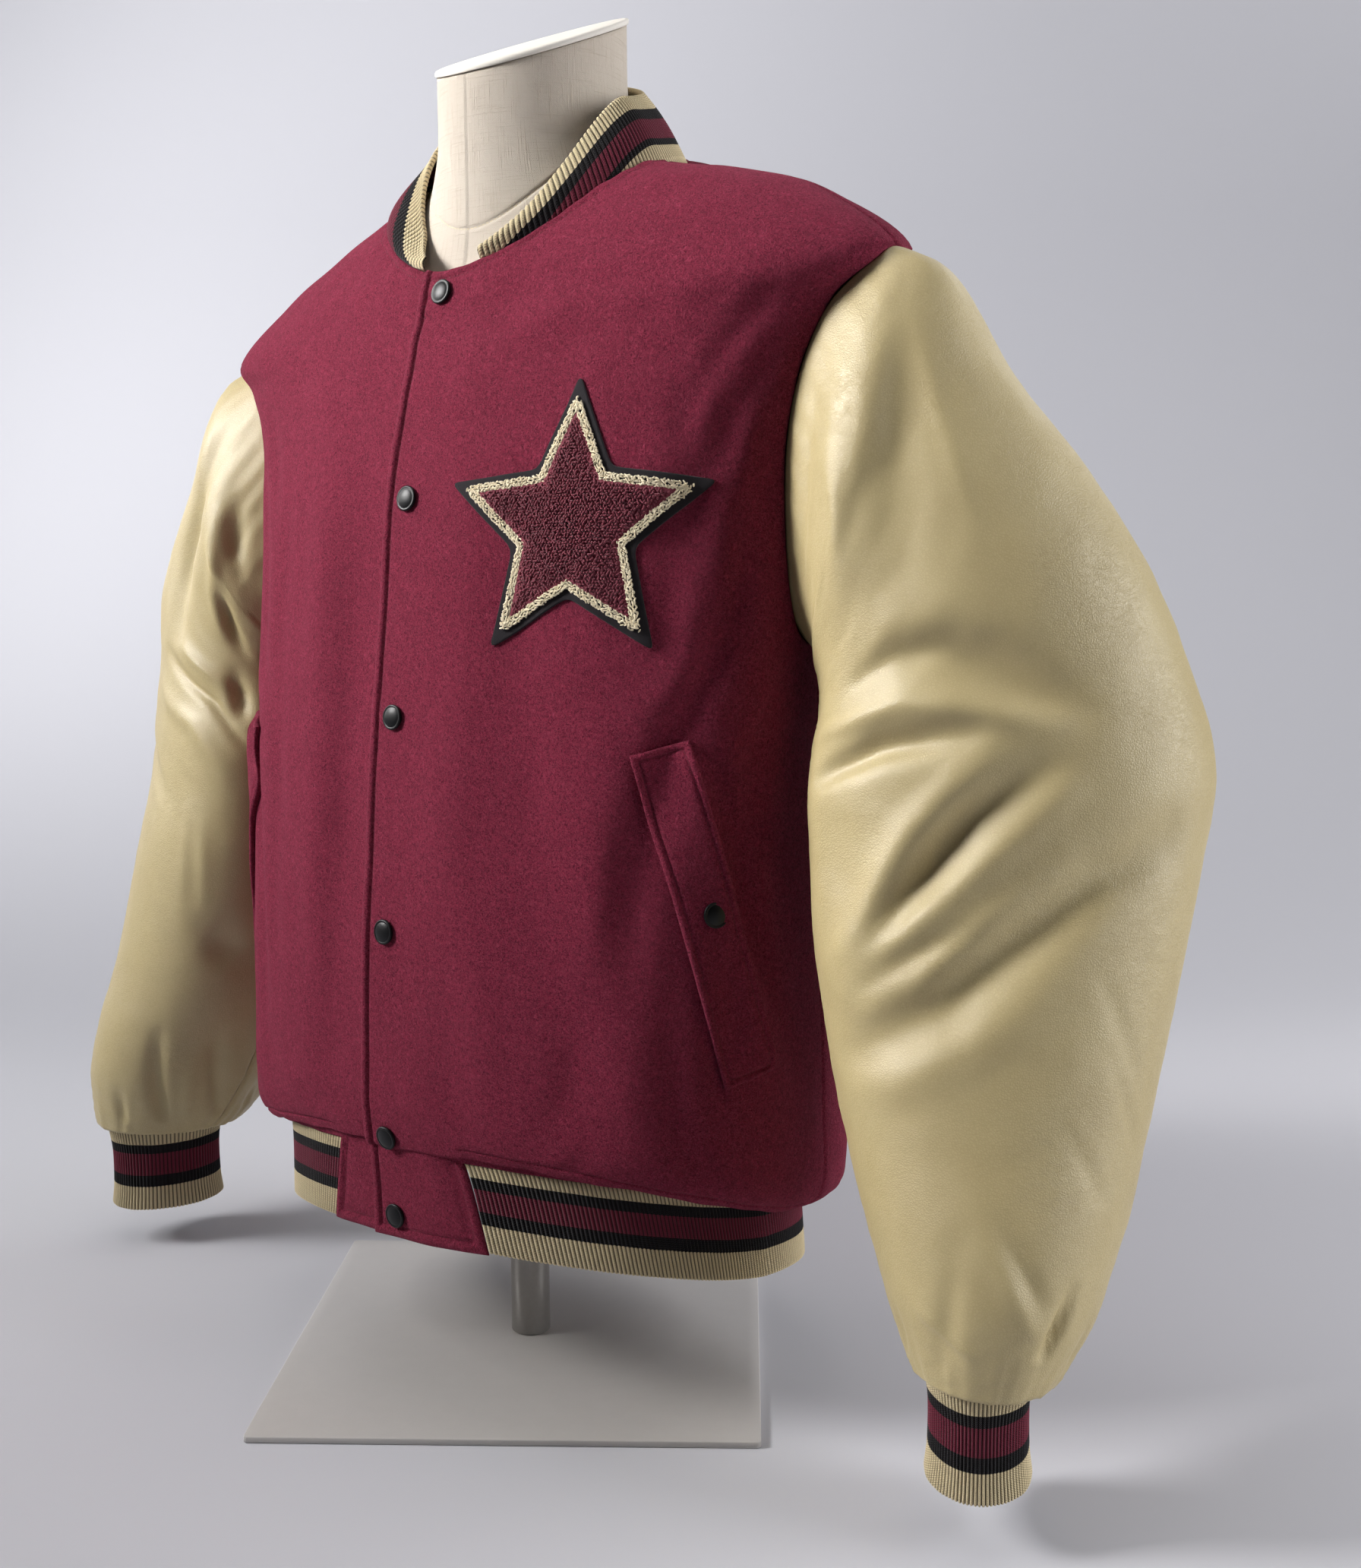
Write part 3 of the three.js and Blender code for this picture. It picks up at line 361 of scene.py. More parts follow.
def shell_faces(keep, closed=False):
    """Quads of a wall between two grids; keep marks the cells that are there."""
    rows, cells = keep.shape
    cols = cells if closed else cells + 1
    count = (rows + 1) * cols
    i, j = np.nonzero(keep)
    k = (j + 1) % cols

    def at(layer, a, b):
        return layer * count + a * cols + b
    faces = [np.stack([at(0, i, j), at(0, i, k), at(0, i + 1, k), at(0, i + 1, j)], 1),
             np.stack([at(1, i, j), at(1, i + 1, j), at(1, i + 1, k), at(1, i, k)], 1)]
    padded = np.pad(keep, 1)
    if closed:
        padded[:, 0], padded[:, -1] = padded[:, -2], padded[:, 1]
    free = [~padded[:-2, 1:-1], ~padded[2:, 1:-1], ~padded[1:-1, :-2], ~padded[1:-1, 2:]]
    ends = [((0, 0), (0, 1)), ((1, 1), (1, 0)), ((1, 0), (0, 0)), ((0, 1), (1, 1))]
    for gone, ((a0, b0), (a1, b1)) in zip(free, ends):
        i, j = np.nonzero(keep & gone)
        k = (j + 1) % cols
        p, q = at(0, i + a0, np.where(b0, k, j)), at(0, i + a1, np.where(b1, k, j))
        faces.append(np.stack([p, p + count, q + count, q], 1))
    return np.concatenate(faces)


def shell(name, outer, inner, uv, keep=None, **how):
    """A thin wall between an outer and an inner grid of points."""
    rows, cols = outer.shape[:2]
    if keep is None:
        keep = np.ones((rows - 1, cols - 1), bool)
    points = np.concatenate([outer.reshape(-1, 3), inner.reshape(-1, 3)])
    used, faces = np.unique(shell_faces(keep), return_inverse=True)
    uv = np.concatenate([uv.reshape(-1, 2)] * 2)[used]
    return mesh_piece(name, points[used], faces.reshape(-1, 4), uv=uv, **how)


def lengths(points, axis):
    """Distance along a grid's lines from their first point."""
    step = np.linalg.norm(np.diff(points, axis=axis), axis=-1)
    zero = np.zeros_like(np.take(step, [0], axis=axis))
    return np.concatenate([zero, np.cumsum(step, axis=axis)], axis=axis)


def rolled(d, thick):
    """How far the skin sinks towards the middle of a wall near its free edge."""
    r = thick / 2
    d = np.clip(d, 0, r)
    return np.sqrt(np.maximum(r * r - (r - d) ** 2, 0)) - r


def groove(d, at, depth, width):
    return -depth * np.exp(-((d - at) / width) ** 2)


def ripples(seed, count, low, high):
    """A soft unevenness over two flat coordinates in mm: a sum of waves of set lengths."""
    r = np.random.default_rng(seed)
    turn, phase = r.uniform(0, 2 * math.pi, count), r.uniform(0, 2 * math.pi, count)
    wave = 2 * math.pi / np.exp(r.uniform(math.log(low), math.log(high), count))

    def field(a, b):
        total = np.zeros(np.broadcast(a, b).shape)
        for t, p, w in zip(turn, phase, wave):
            total = total + np.sin((a * math.cos(t) + b * math.sin(t)) * w + p)
        return total / math.sqrt(count)
    return field


def stations(ends, counts):
    """Joined even steps: values of a parameter with a count for each stretch."""
    line = [np.array([ends[0]], float)]
    for a, b, n in zip(ends[:-1], ends[1:], counts):
        line.append(np.linspace(a, b, n + 1)[1:])
    return np.concatenate(line)


# Small parts that are repeated: stitches and tufts, joined into one mesh a piece
def capsule(sides, rings):
    """A unit bead along x: points and faces."""
    a = np.linspace(0, math.pi, rings + 2)[1:-1]
    b = np.arange(sides) * 2 * math.pi / sides
    body_points = np.stack([np.repeat(-np.cos(a), sides), np.outer(np.sin(a), np.cos(b)).ravel(),
                            np.outer(np.sin(a), np.sin(b)).ravel()], 1)
    points = np.concatenate([body_points, [[-1, 0, 0], [1, 0, 0]]])
    faces = []
    for i in range(rings - 1):
        for j in range(sides):
            k = (j + 1) % sides
            faces.append((i * sides + j, (i + 1) * sides + j, (i + 1) * sides + k, i * sides + k))
    low, high = len(points) - 2, len(points) - 1
    for j in range(sides):
        k = (j + 1) % sides
        faces.append((low, j, k))
        faces.append((high, (rings - 1) * sides + k, (rings - 1) * sides + j))
    return points, faces


def scatter(name, unit_mesh, centres, along, up, size, **how):
    """Copies of a unit mesh at many places, with their own axes and sizes."""
    points, faces = unit_mesh
    along = unit(along)
    side = unit(np.cross(up, along))
    top = np.cross(along, side)
    basis = np.stack([along * size[:, :1], side * size[:, 1:2], top * size[:, 2:3]], 1)
    placed = np.einsum("pk,nkc->npc", points, basis) + centres[:, None]
    n = len(points)
    every = [tuple(i + n * c for i in f) for c in range(len(centres)) for f in faces]
    return mesh_piece(name, placed.reshape(-1, 3), every, **how)


THREAD = capsule(5, 3)  # also the shape of a loop of yarn


def stitches(path, normals, pitch=3.3, thread=0.7, share=0.85, rise=0.0):
    """A row of stitches along a line of points; each takes a share of the pitch."""
    run = lengths(path, 0)
    count = max(1, int(run[-1] / pitch))
    at = (np.arange(count) + 0.5) * run[-1] / count

    def read(values, places):
        return np.stack([np.interp(places, run, values[:, k]) for k in range(3)], 1)
    up = unit(read(normals, at))
    size = np.tile([pitch * share / 2, thread / 2, thread / 2], (count, 1))
    along = read(path, at + 0.4 * pitch) - read(path, at - 0.4 * pitch)
    return read(path, at) + up * rise, along, up, size


def stitch_piece(name, rows, **how):
    """Rows of stitches joined into one piece."""
    parts = [np.concatenate(p) for p in zip(*rows)]
    return scatter(name, THREAD, *parts, **how)


# Materials
class Nodes:
    """A short way to write a node material."""

    def __init__(self, name):
        self.material = bpy.data.materials.new(name)
        self.material.use_nodes = True
        self.tree = self.material.node_tree
        self.shader = self.tree.nodes["Principled BSDF"]

    def set(self, **values):
        for key, value in values.items():
            self.shader.inputs[key.replace("_", " ")].default_value = value

    def add(self, kind, inputs=(), **props):
        node = self.tree.nodes.new("ShaderNode" + kind)
        for key, value in props.items():
            setattr(node, key, value)
        for key, value in dict(inputs).items():
            self.feed(node.inputs[key], value)
        return node

    def feed(self, socket, value):
        if hasattr(value, "is_output"):
            self.tree.links.new(value, socket)
        else:
            socket.default_value = value

    def place(self):
        return self.add("TexCoord").outputs["Object"]

    def uv(self):
        return self.add("UVMap").outputs["UV"]

    def stretched(self, vector, scale):
        return self.add("Mapping", {"Vector": vector, "Scale": scale}).outputs["Vector"]

    def noise(self, vector, scale, detail=3.0, roughness=0.55, distortion=0.0):
        return self.add("TexNoise", {"Vector": vector, "Scale": scale, "Detail": detail,
                                     "Roughness": roughness, "Distortion": distortion}).outputs["Fac"]

    def ramp(self, value, stops, interpolation="LINEAR"):
        """stops: (place, colour) in rising order."""
        node = self.add("ValToRGB", {"Fac": value})
        line = node.color_ramp
        line.interpolation = interpolation
        for at, _ in stops[1:-1]:
            line.elements.new(at)
        for element, (at, color) in zip(line.elements, stops):
            element.position = at
            element.color = tone(color)
        return node.outputs["Color"]

    def rising(self, value, low, high):
        """0 below low, 1 over high."""
        return self.ramp(value, [(low, (0, 0, 0)), (high, (255, 255, 255))])

    def lines(self, noise, width):
        """Thin lines where a noise passes its middle."""
        away = self.math("ABSOLUTE", self.math("SUBTRACT", noise, 0.5))
        return self.ramp(away, [(0.0, (255, 255, 255)), (width, (0, 0, 0))])

    def math(self, operation, a, b=0.5):
        node = self.add("Math", operation=operation)
        self.feed(node.inputs[0], a)
        self.feed(node.inputs[1], b)
        return node.outputs[0]

    def plus(self, a, b):
        return self.math("ADD", a, b)

    def times(self, a, b):
        return self.math("MULTIPLY", a, b)

    def rest(self, value):
        return self.math("SUBTRACT", 1.0, value)

    def cells(self, vector, scale, feature):
        return self.add("TexVoronoi", {"Vector": vector, "Scale": scale}, feature=feature).outputs["Distance"]

    def warped(self, vector, scale, detail, reach):
        """The vector pushed about by a noise."""
        push = self.add("TexNoise", {"Vector": vector, "Scale": scale, "Detail": detail}).outputs["Color"]
        push = self.stretched(push, (reach, reach, reach))
        return self.add("VectorMath", {0: vector, 1: push}, operation="ADD").outputs[0]

    def blend(self, factor, a, b):
        """Colour a where the factor is 0, b where it is 1."""
        node = self.add("Mix", data_type="RGBA")
        for key, value in ((0, factor), (6, a), (7, b)):
            self.feed(node.inputs[key], tone(value) if isinstance(value, tuple) else value)
        return node.outputs[2]

    def tinted(self, base, share, mask, color):
        """The base with a share of a colour where the mask is light."""
        return self.blend(self.times(mask, share), base, color)

    def color(self, socket):
        self.tree.links.new(socket, self.shader.inputs["Base Color"])

    def rough(self, value, low, high):
        node = self.add("MapRange", {"Value": value, "To Min": low, "To Max": high})
        self.tree.links.new(node.outputs[0], self.shader.inputs["Roughness"])

    def bump(self, *heights):
        """heights: (socket, distance in mm, strength); each lies on the one before."""
        last = None
        for height, distance, strength in heights:
            node = self.add("Bump", {"Height": height, "Distance": distance * 0.001, "Strength": strength})
            if last:
                self.tree.links.new(last, node.inputs["Normal"])
            last = node.outputs["Normal"]
        self.tree.links.new(last, self.shader.inputs["Normal"])


def tone(color):
    """An sRGB colour of 0 to 255 as linear light."""
    c = np.asarray(color, float) / 255
    c = np.where(c <= 0.04045, c / 12.92, ((c + 0.055) / 1.055) ** 2.4)
    return (*[float(x) for x in c], 1.0)


BURGUNDY = (112, 34, 54)
CREAM = (218, 201, 162)
BLACK = (17, 14, 17)


def wool_material():
    """Felted wool: a nap of curls, worm-like lines and loose fibres over soft clouds."""
    m = Nodes("wool melton")
    p = m.place()
    warp = m.warped(p, 300.0, 2.0, 0.003)
    curl = m.noise(warp, 620, 2, 0.62, 1.8)
    swirl = m.noise(warp, 300, 1, 0.5, 1.2)
    worm = m.lines(swirl, 0.07)
    fibre = m.noise(m.stretched(warp, (1700, 1700, 950)), 1, 2, 0.5, 1.2)
    cloud = m.noise(p, 60, 3, 0.6)
    wide = m.noise(p, 9, 2, 0.5)
    base = m.blend(m.rising(curl, 0.38, 0.62), (81, 18, 35), (140, 45, 69))
    base = m.tinted(base, 0.30, worm, (182, 76, 102))
    base = m.tinted(base, 0.34, m.rising(fibre, 0.55, 0.70), (190, 94, 118))
    base = m.tinted(base, 0.30, cloud, (92, 25, 42))
    base = m.tinted(base, 0.14, wide, (148, 58, 80))
    m.color(base)
    m.set(Roughness=0.95, Specular_IOR_Level=0.12, Sheen_Weight=0.13, Sheen_Roughness=0.36)
    m.shader.inputs["Sheen Tint"].default_value = tone((224, 120, 150))
    m.bump((cloud, 0.6, 0.35), (worm, 0.55, 0.7), (curl, 1.0, 0.8), (fibre, 0.4, 0.7))
    return m.material


def leather_material():
    """Aniline sheepskin: cells of grain, fine wrinkles in patches, and a soft uneven gloss."""
    m = Nodes("sleeve leather")
    p = m.place()
    warp = m.warped(p, 420.0, 2.0, 0.0016)
    grain = m.cells(warp, 700.0, "DISTANCE_TO_EDGE")
    grain = m.rising(grain, 0.0, 0.24)
    pebble = m.cells(warp, 260.0, "SMOOTH_F1")
    bend = m.noise(p, 46, 3, 0.55)
    crease = m.noise(m.stretched(p, (78, 78, 170)), 1, 4, 0.66, 1.6)
    patchy = m.rising(m.noise(p, 11, 2, 0.5), 0.44, 0.62)
    fine = m.times(patchy, m.lines(crease, 0.05))
    worn = m.noise(p, 24, 3, 0.6)
    base = m.blend(worn, (197, 181, 135), (174, 156, 110))
    base = m.tinted(base, 0.5, m.noise(p, 5, 2, 0.5), (186, 172, 132))
    base = m.tinted(base, 0.20, m.rest(grain), (140, 118, 74))
    base = m.tinted(base, 0.16, fine, (146, 124, 80))
    m.color(base)
    m.rough(worn, 0.36, 0.5)
    m.set(Specular_IOR_Level=0.6)
    m.bump((bend, 0.9, 0.14), (m.rest(fine), 0.22, 0.4), (pebble, 0.3, 0.25), (grain, 0.15, 0.55))
    return m.material


STRIPES = (CREAM, BLACK, BURGUNDY, BLACK, CREAM)
COURSE_MM = 1.35


def rib_material(name, edges):
    """Knit of five stripes. UV: across the wales by their number, along them in mm."""
    m = Nodes(name)
    parts = m.add("SeparateXYZ", {"Vector": m.uv()}).outputs
    wale = m.math("ABSOLUTE", m.math("SUBTRACT", m.math("FRACT", parts["X"]), 0.5))
    course = m.plus(m.times(parts["Y"], 1 / COURSE_MM), m.times(wale, 1.1))
    yarn = m.math("SINE", m.times(course, 2 * math.pi))
    flecks = m.noise(m.place(), 900, 3, 0.6)
    cloud = m.noise(m.place(), 55, 3, 0.55)
    level = m.plus(parts["Y"], m.times(m.math("SUBTRACT", 0.5, wale), 1.6))
    level = m.math("DIVIDE", m.plus(level, m.times(cloud, 0.9)), edges[-1])
    starts = (0.0,) + edges[:-1]
    base = m.ramp(level, [(e / edges[-1], c) for e, c in zip(starts, STRIPES)], "CONSTANT")
    shade = m.plus(m.times(flecks, 0.22), m.times(yarn, 0.09))
    # painted shade: the knit's colour is darkened in the grooves between the wales, where the ribs' valleys
    # lie
    shade = m.plus(shade, m.times(m.rising(wale, 0.24, 0.5), 0.78))
    m.color(m.blend(m.plus(shade, 0.03), base, (8, 5, 6)))
    m.set(Roughness=0.9, Specular_IOR_Level=0.2, Sheen_Weight=0.12, Sheen_Roughness=0.5)
    m.bump((yarn, 0.35, 0.5), (flecks, 0.3, 0.45))
    return m.material


def plain_material(name, low, high, scale, rough, bump, sheen=0.0, distortion=0.0, metallic=0.0, level=0.3):
    """A surface of two close tones with a fine relief."""
    m = Nodes(name)
    p = m.place()
    fine = m.noise(p, scale, 4, 0.6, distortion)
    broad = m.noise(p, scale / 16, 3, 0.5)
    m.color(m.blend(m.times(m.plus(fine, broad), 0.5), low, high))
    m.rough(broad, rough[0], rough[1])
    m.set(Sheen_Weight=sheen, Metallic=metallic, Specular_IOR_Level=level)
    m.bump((broad, bump, 0.2), (fine, bump, 0.6))
    return m.material


LINEN_MM = 0.95


def linen_material():
    """Plain weave. UV in mm round the form and up it."""
    m = Nodes("form linen")
    uv = m.uv()
    parts = m.add("SeparateXYZ", {"Vector": uv}).outputs
    sway = m.times(m.noise(m.stretched(uv, (0.12, 0.05, 1)), 1, 3, 0.6), 1.6)
    warp, weft = (m.math("SINE", m.times(m.plus(parts[axis], sway), 2 * math.pi / LINEN_MM)) for axis in "XY")
    weave = m.times(warp, weft)
    slub_up = m.noise(m.stretched(uv, (1.3, 0.035, 1)), 1, 2, 0.5)
    slub_round = m.noise(m.stretched(uv, (0.03, 1.3, 1)), 1, 2, 0.5)
    slubs = m.plus(m.rising(slub_up, 0.55, 0.78), m.rising(slub_round, 0.58, 0.8))
    base = m.blend(m.times(m.plus(weave, 1.0), 0.18), (208, 198, 185), (180, 168, 152))
    base = m.tinted(base, 0.5, slubs, (184, 168, 146))
    base = m.tinted(base, 0.2, m.noise(m.place(), 12, 3, 0.6), (206, 194, 178))
    m.color(base)
    m.set(Roughness=0.88, Specular_IOR_Level=0.2, Sheen_Weight=0.08)
    crumple = m.noise(m.stretched(m.place(), (150, 150, 110)), 1, 4, 0.7, 1.5)
    m.bump((crumple, 0.9, 0.5), (weave, 0.14, 0.6), (slubs, 0.45, 0.6))
    return m.material


def snap_material():
    """Black enamel, a little rubbed."""
    m = Nodes("snap enamel")
    p = m.place()
    fine = m.noise(p, 900, 3, 0.6)
    rub = m.rising(m.noise(p, 240, 4, 0.7), 0.55, 0.75)
    m.color(m.blend(m.times(rub, 0.35), (9, 10, 12), (24, 25, 29)))
    m.rough(fine, 0.34, 0.46)
    m.set(Metallic=0.0, Specular_IOR_Level=0.26)
    m.bump((fine, 0.06, 0.4))
    return m.material


WOOL = wool_material()
LEATHER = leather_material()
FELT = plain_material("patch felt", (15, 13, 16), (38, 33, 38), 1100, (0.9, 1.0), 0.35, 0.12, 1.5)
CHENILLE = plain_material("chenille yarn", (84, 28, 42), (140, 56, 72), 1300, (0.85, 1.0), 0.3, 0.25, 0.8)
CORD = plain_material("cream cord", (214, 198, 164), (244, 234, 208), 1200, (0.8, 0.95), 0.3, 0.1, 0.8)
BURGUNDY_THREAD = plain_material("burgundy thread", (88, 24, 40), (122, 42, 60), 2600, (0.6, 0.8), 0.1)
CREAM_THREAD = plain_material("cream thread", (214, 198, 150), (236, 224, 186), 2600, (0.55, 0.7), 0.1)
WOOL_LOOK = {"material": WOOL, "slot": "wool"}
SEAM_LOOK = {"material": BURGUNDY_THREAD, "slot": "wool"}
LINEN = linen_material()
CAP = plain_material("neck cap", (214, 208, 198), (232, 228, 220), 700, (0.5, 0.7), 0.12)
STEEL = plain_material("stand paint", (182, 178, 175), (196, 192, 189), 1400, (0.28, 0.4), 0.06,
                       level=0.6)
POLE_PAINT = plain_material("pole metal", (140, 137, 133), (164, 160, 156), 300, (0.28, 0.42), 0.05,
                            metallic=0.45, level=0.5)
SNAP = snap_material()


# Cloth sizes
WOOL_T = 2.4
LEATHER_T = 1.6
RIB_T = 3.4
SEAM = 0.3
LAP = 21
LAP_RISE = WOOL_T + 0.45
STITCH_IN = 7.2

# Soft folds of the wool over those of the solids: width and depth in mm, then places (degree, row).
BODY_CREASES = (
    (15, 3.6, (11, 8.8), (10, 6.7), (11, 5.6), (15, 4.4), (18, 3.0)),     # long ridge beside the placket
    (16, -3.4, (23, 7.6), (24, 5.9), (31, 4.6), (35, 3.6)),
    (19, 3.2, (-22, 11.2), (-17, 8.4), (-15, 6.3), (-18, 3.8)),           # ridge on the other front
    (13, -2.8, (-9, 9.4), (-8, 7.6), (-8, 5.6), (-9, 4.0)),
    (12, -2.2, (-34, 9.6), (-31, 7.0), (-30, 4.4)), (14, 2.4, (16, 12.3), (12, 10.6)),
    (16, 2.4, (37, 6.3), (41, 4.9), (46, 3.6)), (12, -2.4, (54, 4.6), (58, 3.2)),
    (8, -3.6, (60, 6.75), (74, 5.4), (87, 4.3)), (8, -3.6, (-60, 6.75), (-74, 5.4), (-87, 4.3)),
    (11, -1.8, (58, 11.2), (48, 9.6)), (9, -2.2, (76, 9.0), (60, 7.6)), (11, -2.0, (-46, 10.6), (-40, 8.8)),
    (9, -2.2, (-78, 9.1), (-58, 7.6)), (10, -2.4, (104, 9.4), (128, 7.0)), (10, -2.4, (-106, 9.4),
    (-130, 6.8)),
    (18, 2.6, (146, 11.6), (150, 8.2), (148, 5.0)), (18, 2.4, (-150, 11.2), (-146, 7.8), (-150, 4.6)),
    (20, -2.0, (176, 13.0), (178, 9.0), (174, 5.0)), (15, -2.4, (128, 6.4), (134, 3.4)),
    (7, -1.3, (36, 3.2), (33, 2.35)), (7, -1.4, (62, 3.3), (66, 2.3)), (7, -1.3, (-44, 3.3), (-41, 2.35)),
    (8, -1.7, (132, 3.4), (130, 2.4)), (8, -1.6, (-156, 3.3), (-152, 2.4)), (8, -1.5, (168, 3.4), (171, 2.4)),
)
wool_wave = ripples(3, 14, 26, 90)


def wool(deg, v, out=0.0):
    """The outer face of the wool, with the small creases and its soft unevenness."""
    calm = smooth(1.6, 2.6, v) * (1 - smooth(13.8, 14.8, v))
    crease = crease_sum(BODY_CREASES, deg, v, *BODY_MM) * calm
    return body(deg, v, out + crease + 0.42 * wool_wave(deg * 3.2, v * 44))


def spaced(vs, first, last, near, far, count):
    """Angles of a grid's columns: at set distances from both ends, and even steps between."""
    rows = []
    for v in vs:
        d = np.linspace(first(v), last(v), 260)
        run = lengths(body_ring(d, np.full_like(d, v)), 0)
        inner = np.linspace(near[-1], run[-1] - far[-1], count + 2)[1:-1]
        rows.append(np.interp(np.concatenate([near, inner, run[-1] - far[::-1]]), run, d))
    return np.array(rows)


# Columns of a front, in mm from its edges, closest at the rolled edge and the stitches
NEAR = np.array([0, 0.12, 0.4, 0.8, 1.3, 2, 3, 4.2, 5.4, 6.3, 6.9, 7.2, 7.5, 8.1, 9, 10.2, 11.6, 13.4, 15.6])
FAR = np.array([0, 0.12, 0.45, 0.9, 1.4, 2.0, 2.8, 3.8, 5.2, 7.2])
# Rows of the wool: the places where the spacing changes, and the steps between them
FRONT_ROWS = stations(
    [0, 0.003, 0.02, 0.06, 0.11, 0.128, 0.145, 0.2, 0.97, 0.985, 1, 1.03, 1.08, 1.2, 1.5, 2, 2.3, 2.42, 2.7,
     3, 4, 5, 6, 7, 8, 9, 10, 11, 12, 13, 14, 14.8, 14.93, 14.985, 15],
    [1, 1, 2, 2, 1, 1, 2, 13, 1, 1, 1, 2, 3, 5, 7, 4, 4, 4, 3, 12,
     20, 20, 12, 9, 19, 13, 9, 8, 10, 10, 9, 3, 3, 1])
BACK_ROWS = FRONT_ROWS[FRONT_ROWS >= 1]
TAB_LOW, TAB_HIGH = 67, 53      # half width of the tabs at the hem, at their lower and upper end
HEM_ROW, TOP_STITCH = 2.42, 6.4
TAB_STITCH = 0.128              # row of the stitches along a tab's hem


def hem_index(rows):
    return np.searchsorted(rows, HEM_ROW - 0.01)


def tab_deg(v):
    """The angle where the tab ends, and its line up the front."""
    x = np.where(v < 1, mix(TAB_LOW, TAB_HIGH, clamp01(v)), mix(TAB_HIGH, 62, clamp01((v - 1) / 8)))
    return deg_at_x(float(x), v)


def front_degrees():
    """The angles of a front's columns in each row, and the column where the tab ends."""
    near = spaced(FRONT_ROWS, lambda v: deg_at_x(-LAP, v), tab_deg, NEAR, FAR, 14)
    far = spaced(FRONT_ROWS, tab_deg, lambda v: float(edge_deg(v, True)) - SEAM / 6.4,
                 np.array([0, 1.5]), FAR, 54)
    deg = np.concatenate([near, far[:, 1:]], 1)
    return deg, near.shape[1] - 1


def no_lift(deg, v):
    return 0.0


def lap_lift(deg, v):
    """How far the wearer's left front lies over the right one."""
    return LAP_RISE * (1 - smooth(LAP + 6, LAP + 46, body_ring(deg, v)[..., 0]))


def place_uv(outer):
    return np.stack([lengths(outer, 1), lengths(outer, 0)], -1)


def swell(d, height, inner, outer):
    """A soft ridge between an edge and its stitches: rises over the range inner, falls over outer."""
    return height * smooth(*inner, d) * (1 - smooth(*outer, d))


def top_relief(from_top):
    return groove(from_top, TOP_STITCH, 0.8, 0.9) + swell(from_top, 0.4, (0.5, 2.6), (4, 5.6))


def fronts():
    """Both fronts, with their tabs at the hem, and the rows of stitches on them."""
    made = {}
    deg, tab = front_degrees()
    for side, label in SIDES:
        v = np.repeat(FRONT_ROWS[:, None], deg.shape[1], 1)
        lift = lap_lift(deg, v) if side > 0 else np.zeros_like(deg)
        base = body(side * deg, v, lift)
        across, up = lengths(base, 1), lengths(base, 0)
        from_top = up[-1] - up
        from_side = across[:, -1:] - across
        to_tab = np.abs(across - across[:, tab:tab + 1])
        start = np.searchsorted(FRONT_ROWS, 1.0)
        on_tab = np.arange(deg.shape[1])[None] <= tab
        from_hem = np.where(on_tab, up, up - up[start])
        below = v < 1.0
        corner = np.where(below & on_tab, np.minimum(to_tab, 99), 99)
        edge = np.minimum.reduce([across, np.where(on_tab, from_hem, 99), corner, from_top])
        out = lift + rolled(edge, WOOL_T)
        stitched = np.minimum.reduce([across, np.where(on_tab & (v < 1.4), from_hem, 99), corner])
        out += groove(stitched, STITCH_IN, 1.25, 1.0) + swell(stitched, 0.9, (0.5, 3), (4.6, 6.8))
        out += top_relief(from_top)
        out += groove(from_side, 0, 1.3, 1.5) + groove(from_side, 4.6, 0.35, 0.8) * (v > TIP)
        hem = np.where(on_tab, 0, 1) * groove(v, HEM_ROW, 1.0, 0.055)
        out += hem + groove(to_tab, 5, 0.5, 1.1) * swell(v, 1, (0.9, 1.0), (1.0, 1.25)) * on_tab
        outer = wool(side * deg, v, out)
        under = np.minimum(rolled(edge, WOOL_T), 0)
        inner = wool(side * deg, v, lift - WOOL_T - under)
        if side < 0:
            outer, inner = outer[:, ::-1], inner[:, ::-1]
        keep = np.ones((len(v) - 1, deg.shape[1] - 1), bool)
        hidden = slice(tab, None) if side > 0 else slice(None, deg.shape[1] - 1 - tab)
        keep[:start, hidden] = False
        panel = shell(f"{label}_front_wool", outer, inner, place_uv(outer), keep,
                      replaces=[f"front_{label}"], **WOOL_LOOK)
        full, normal = wool(side * deg, v, out), body_normal(side * deg, v)
        seam = np.searchsorted(NEAR, STITCH_IN)
        end = tab - np.searchsorted(FAR, 7.0)
        over_hem = FRONT_ROWS > TAB_STITCH
        low = np.searchsorted(FRONT_ROWS, TAB_STITCH)
        top = np.argmin(np.abs(from_top[:, seam + 3:] - TOP_STITCH), 0)
        lines = [(np.nonzero(over_hem & (FRONT_ROWS < 14.86))[0][::side], seam), (low, slice(seam, end)),
                 (over_hem & (FRONT_ROWS < 1.1), end), (top, np.arange(seam + 3, deg.shape[1])),
                 (hem_index(FRONT_ROWS), slice(tab, None))]
        rows = [stitches(full[line], normal[line]) for line in lines]
        made[label] = panel, stitch_piece(f"{label}_front_stitching", rows, **SEAM_LOOK)
    return made


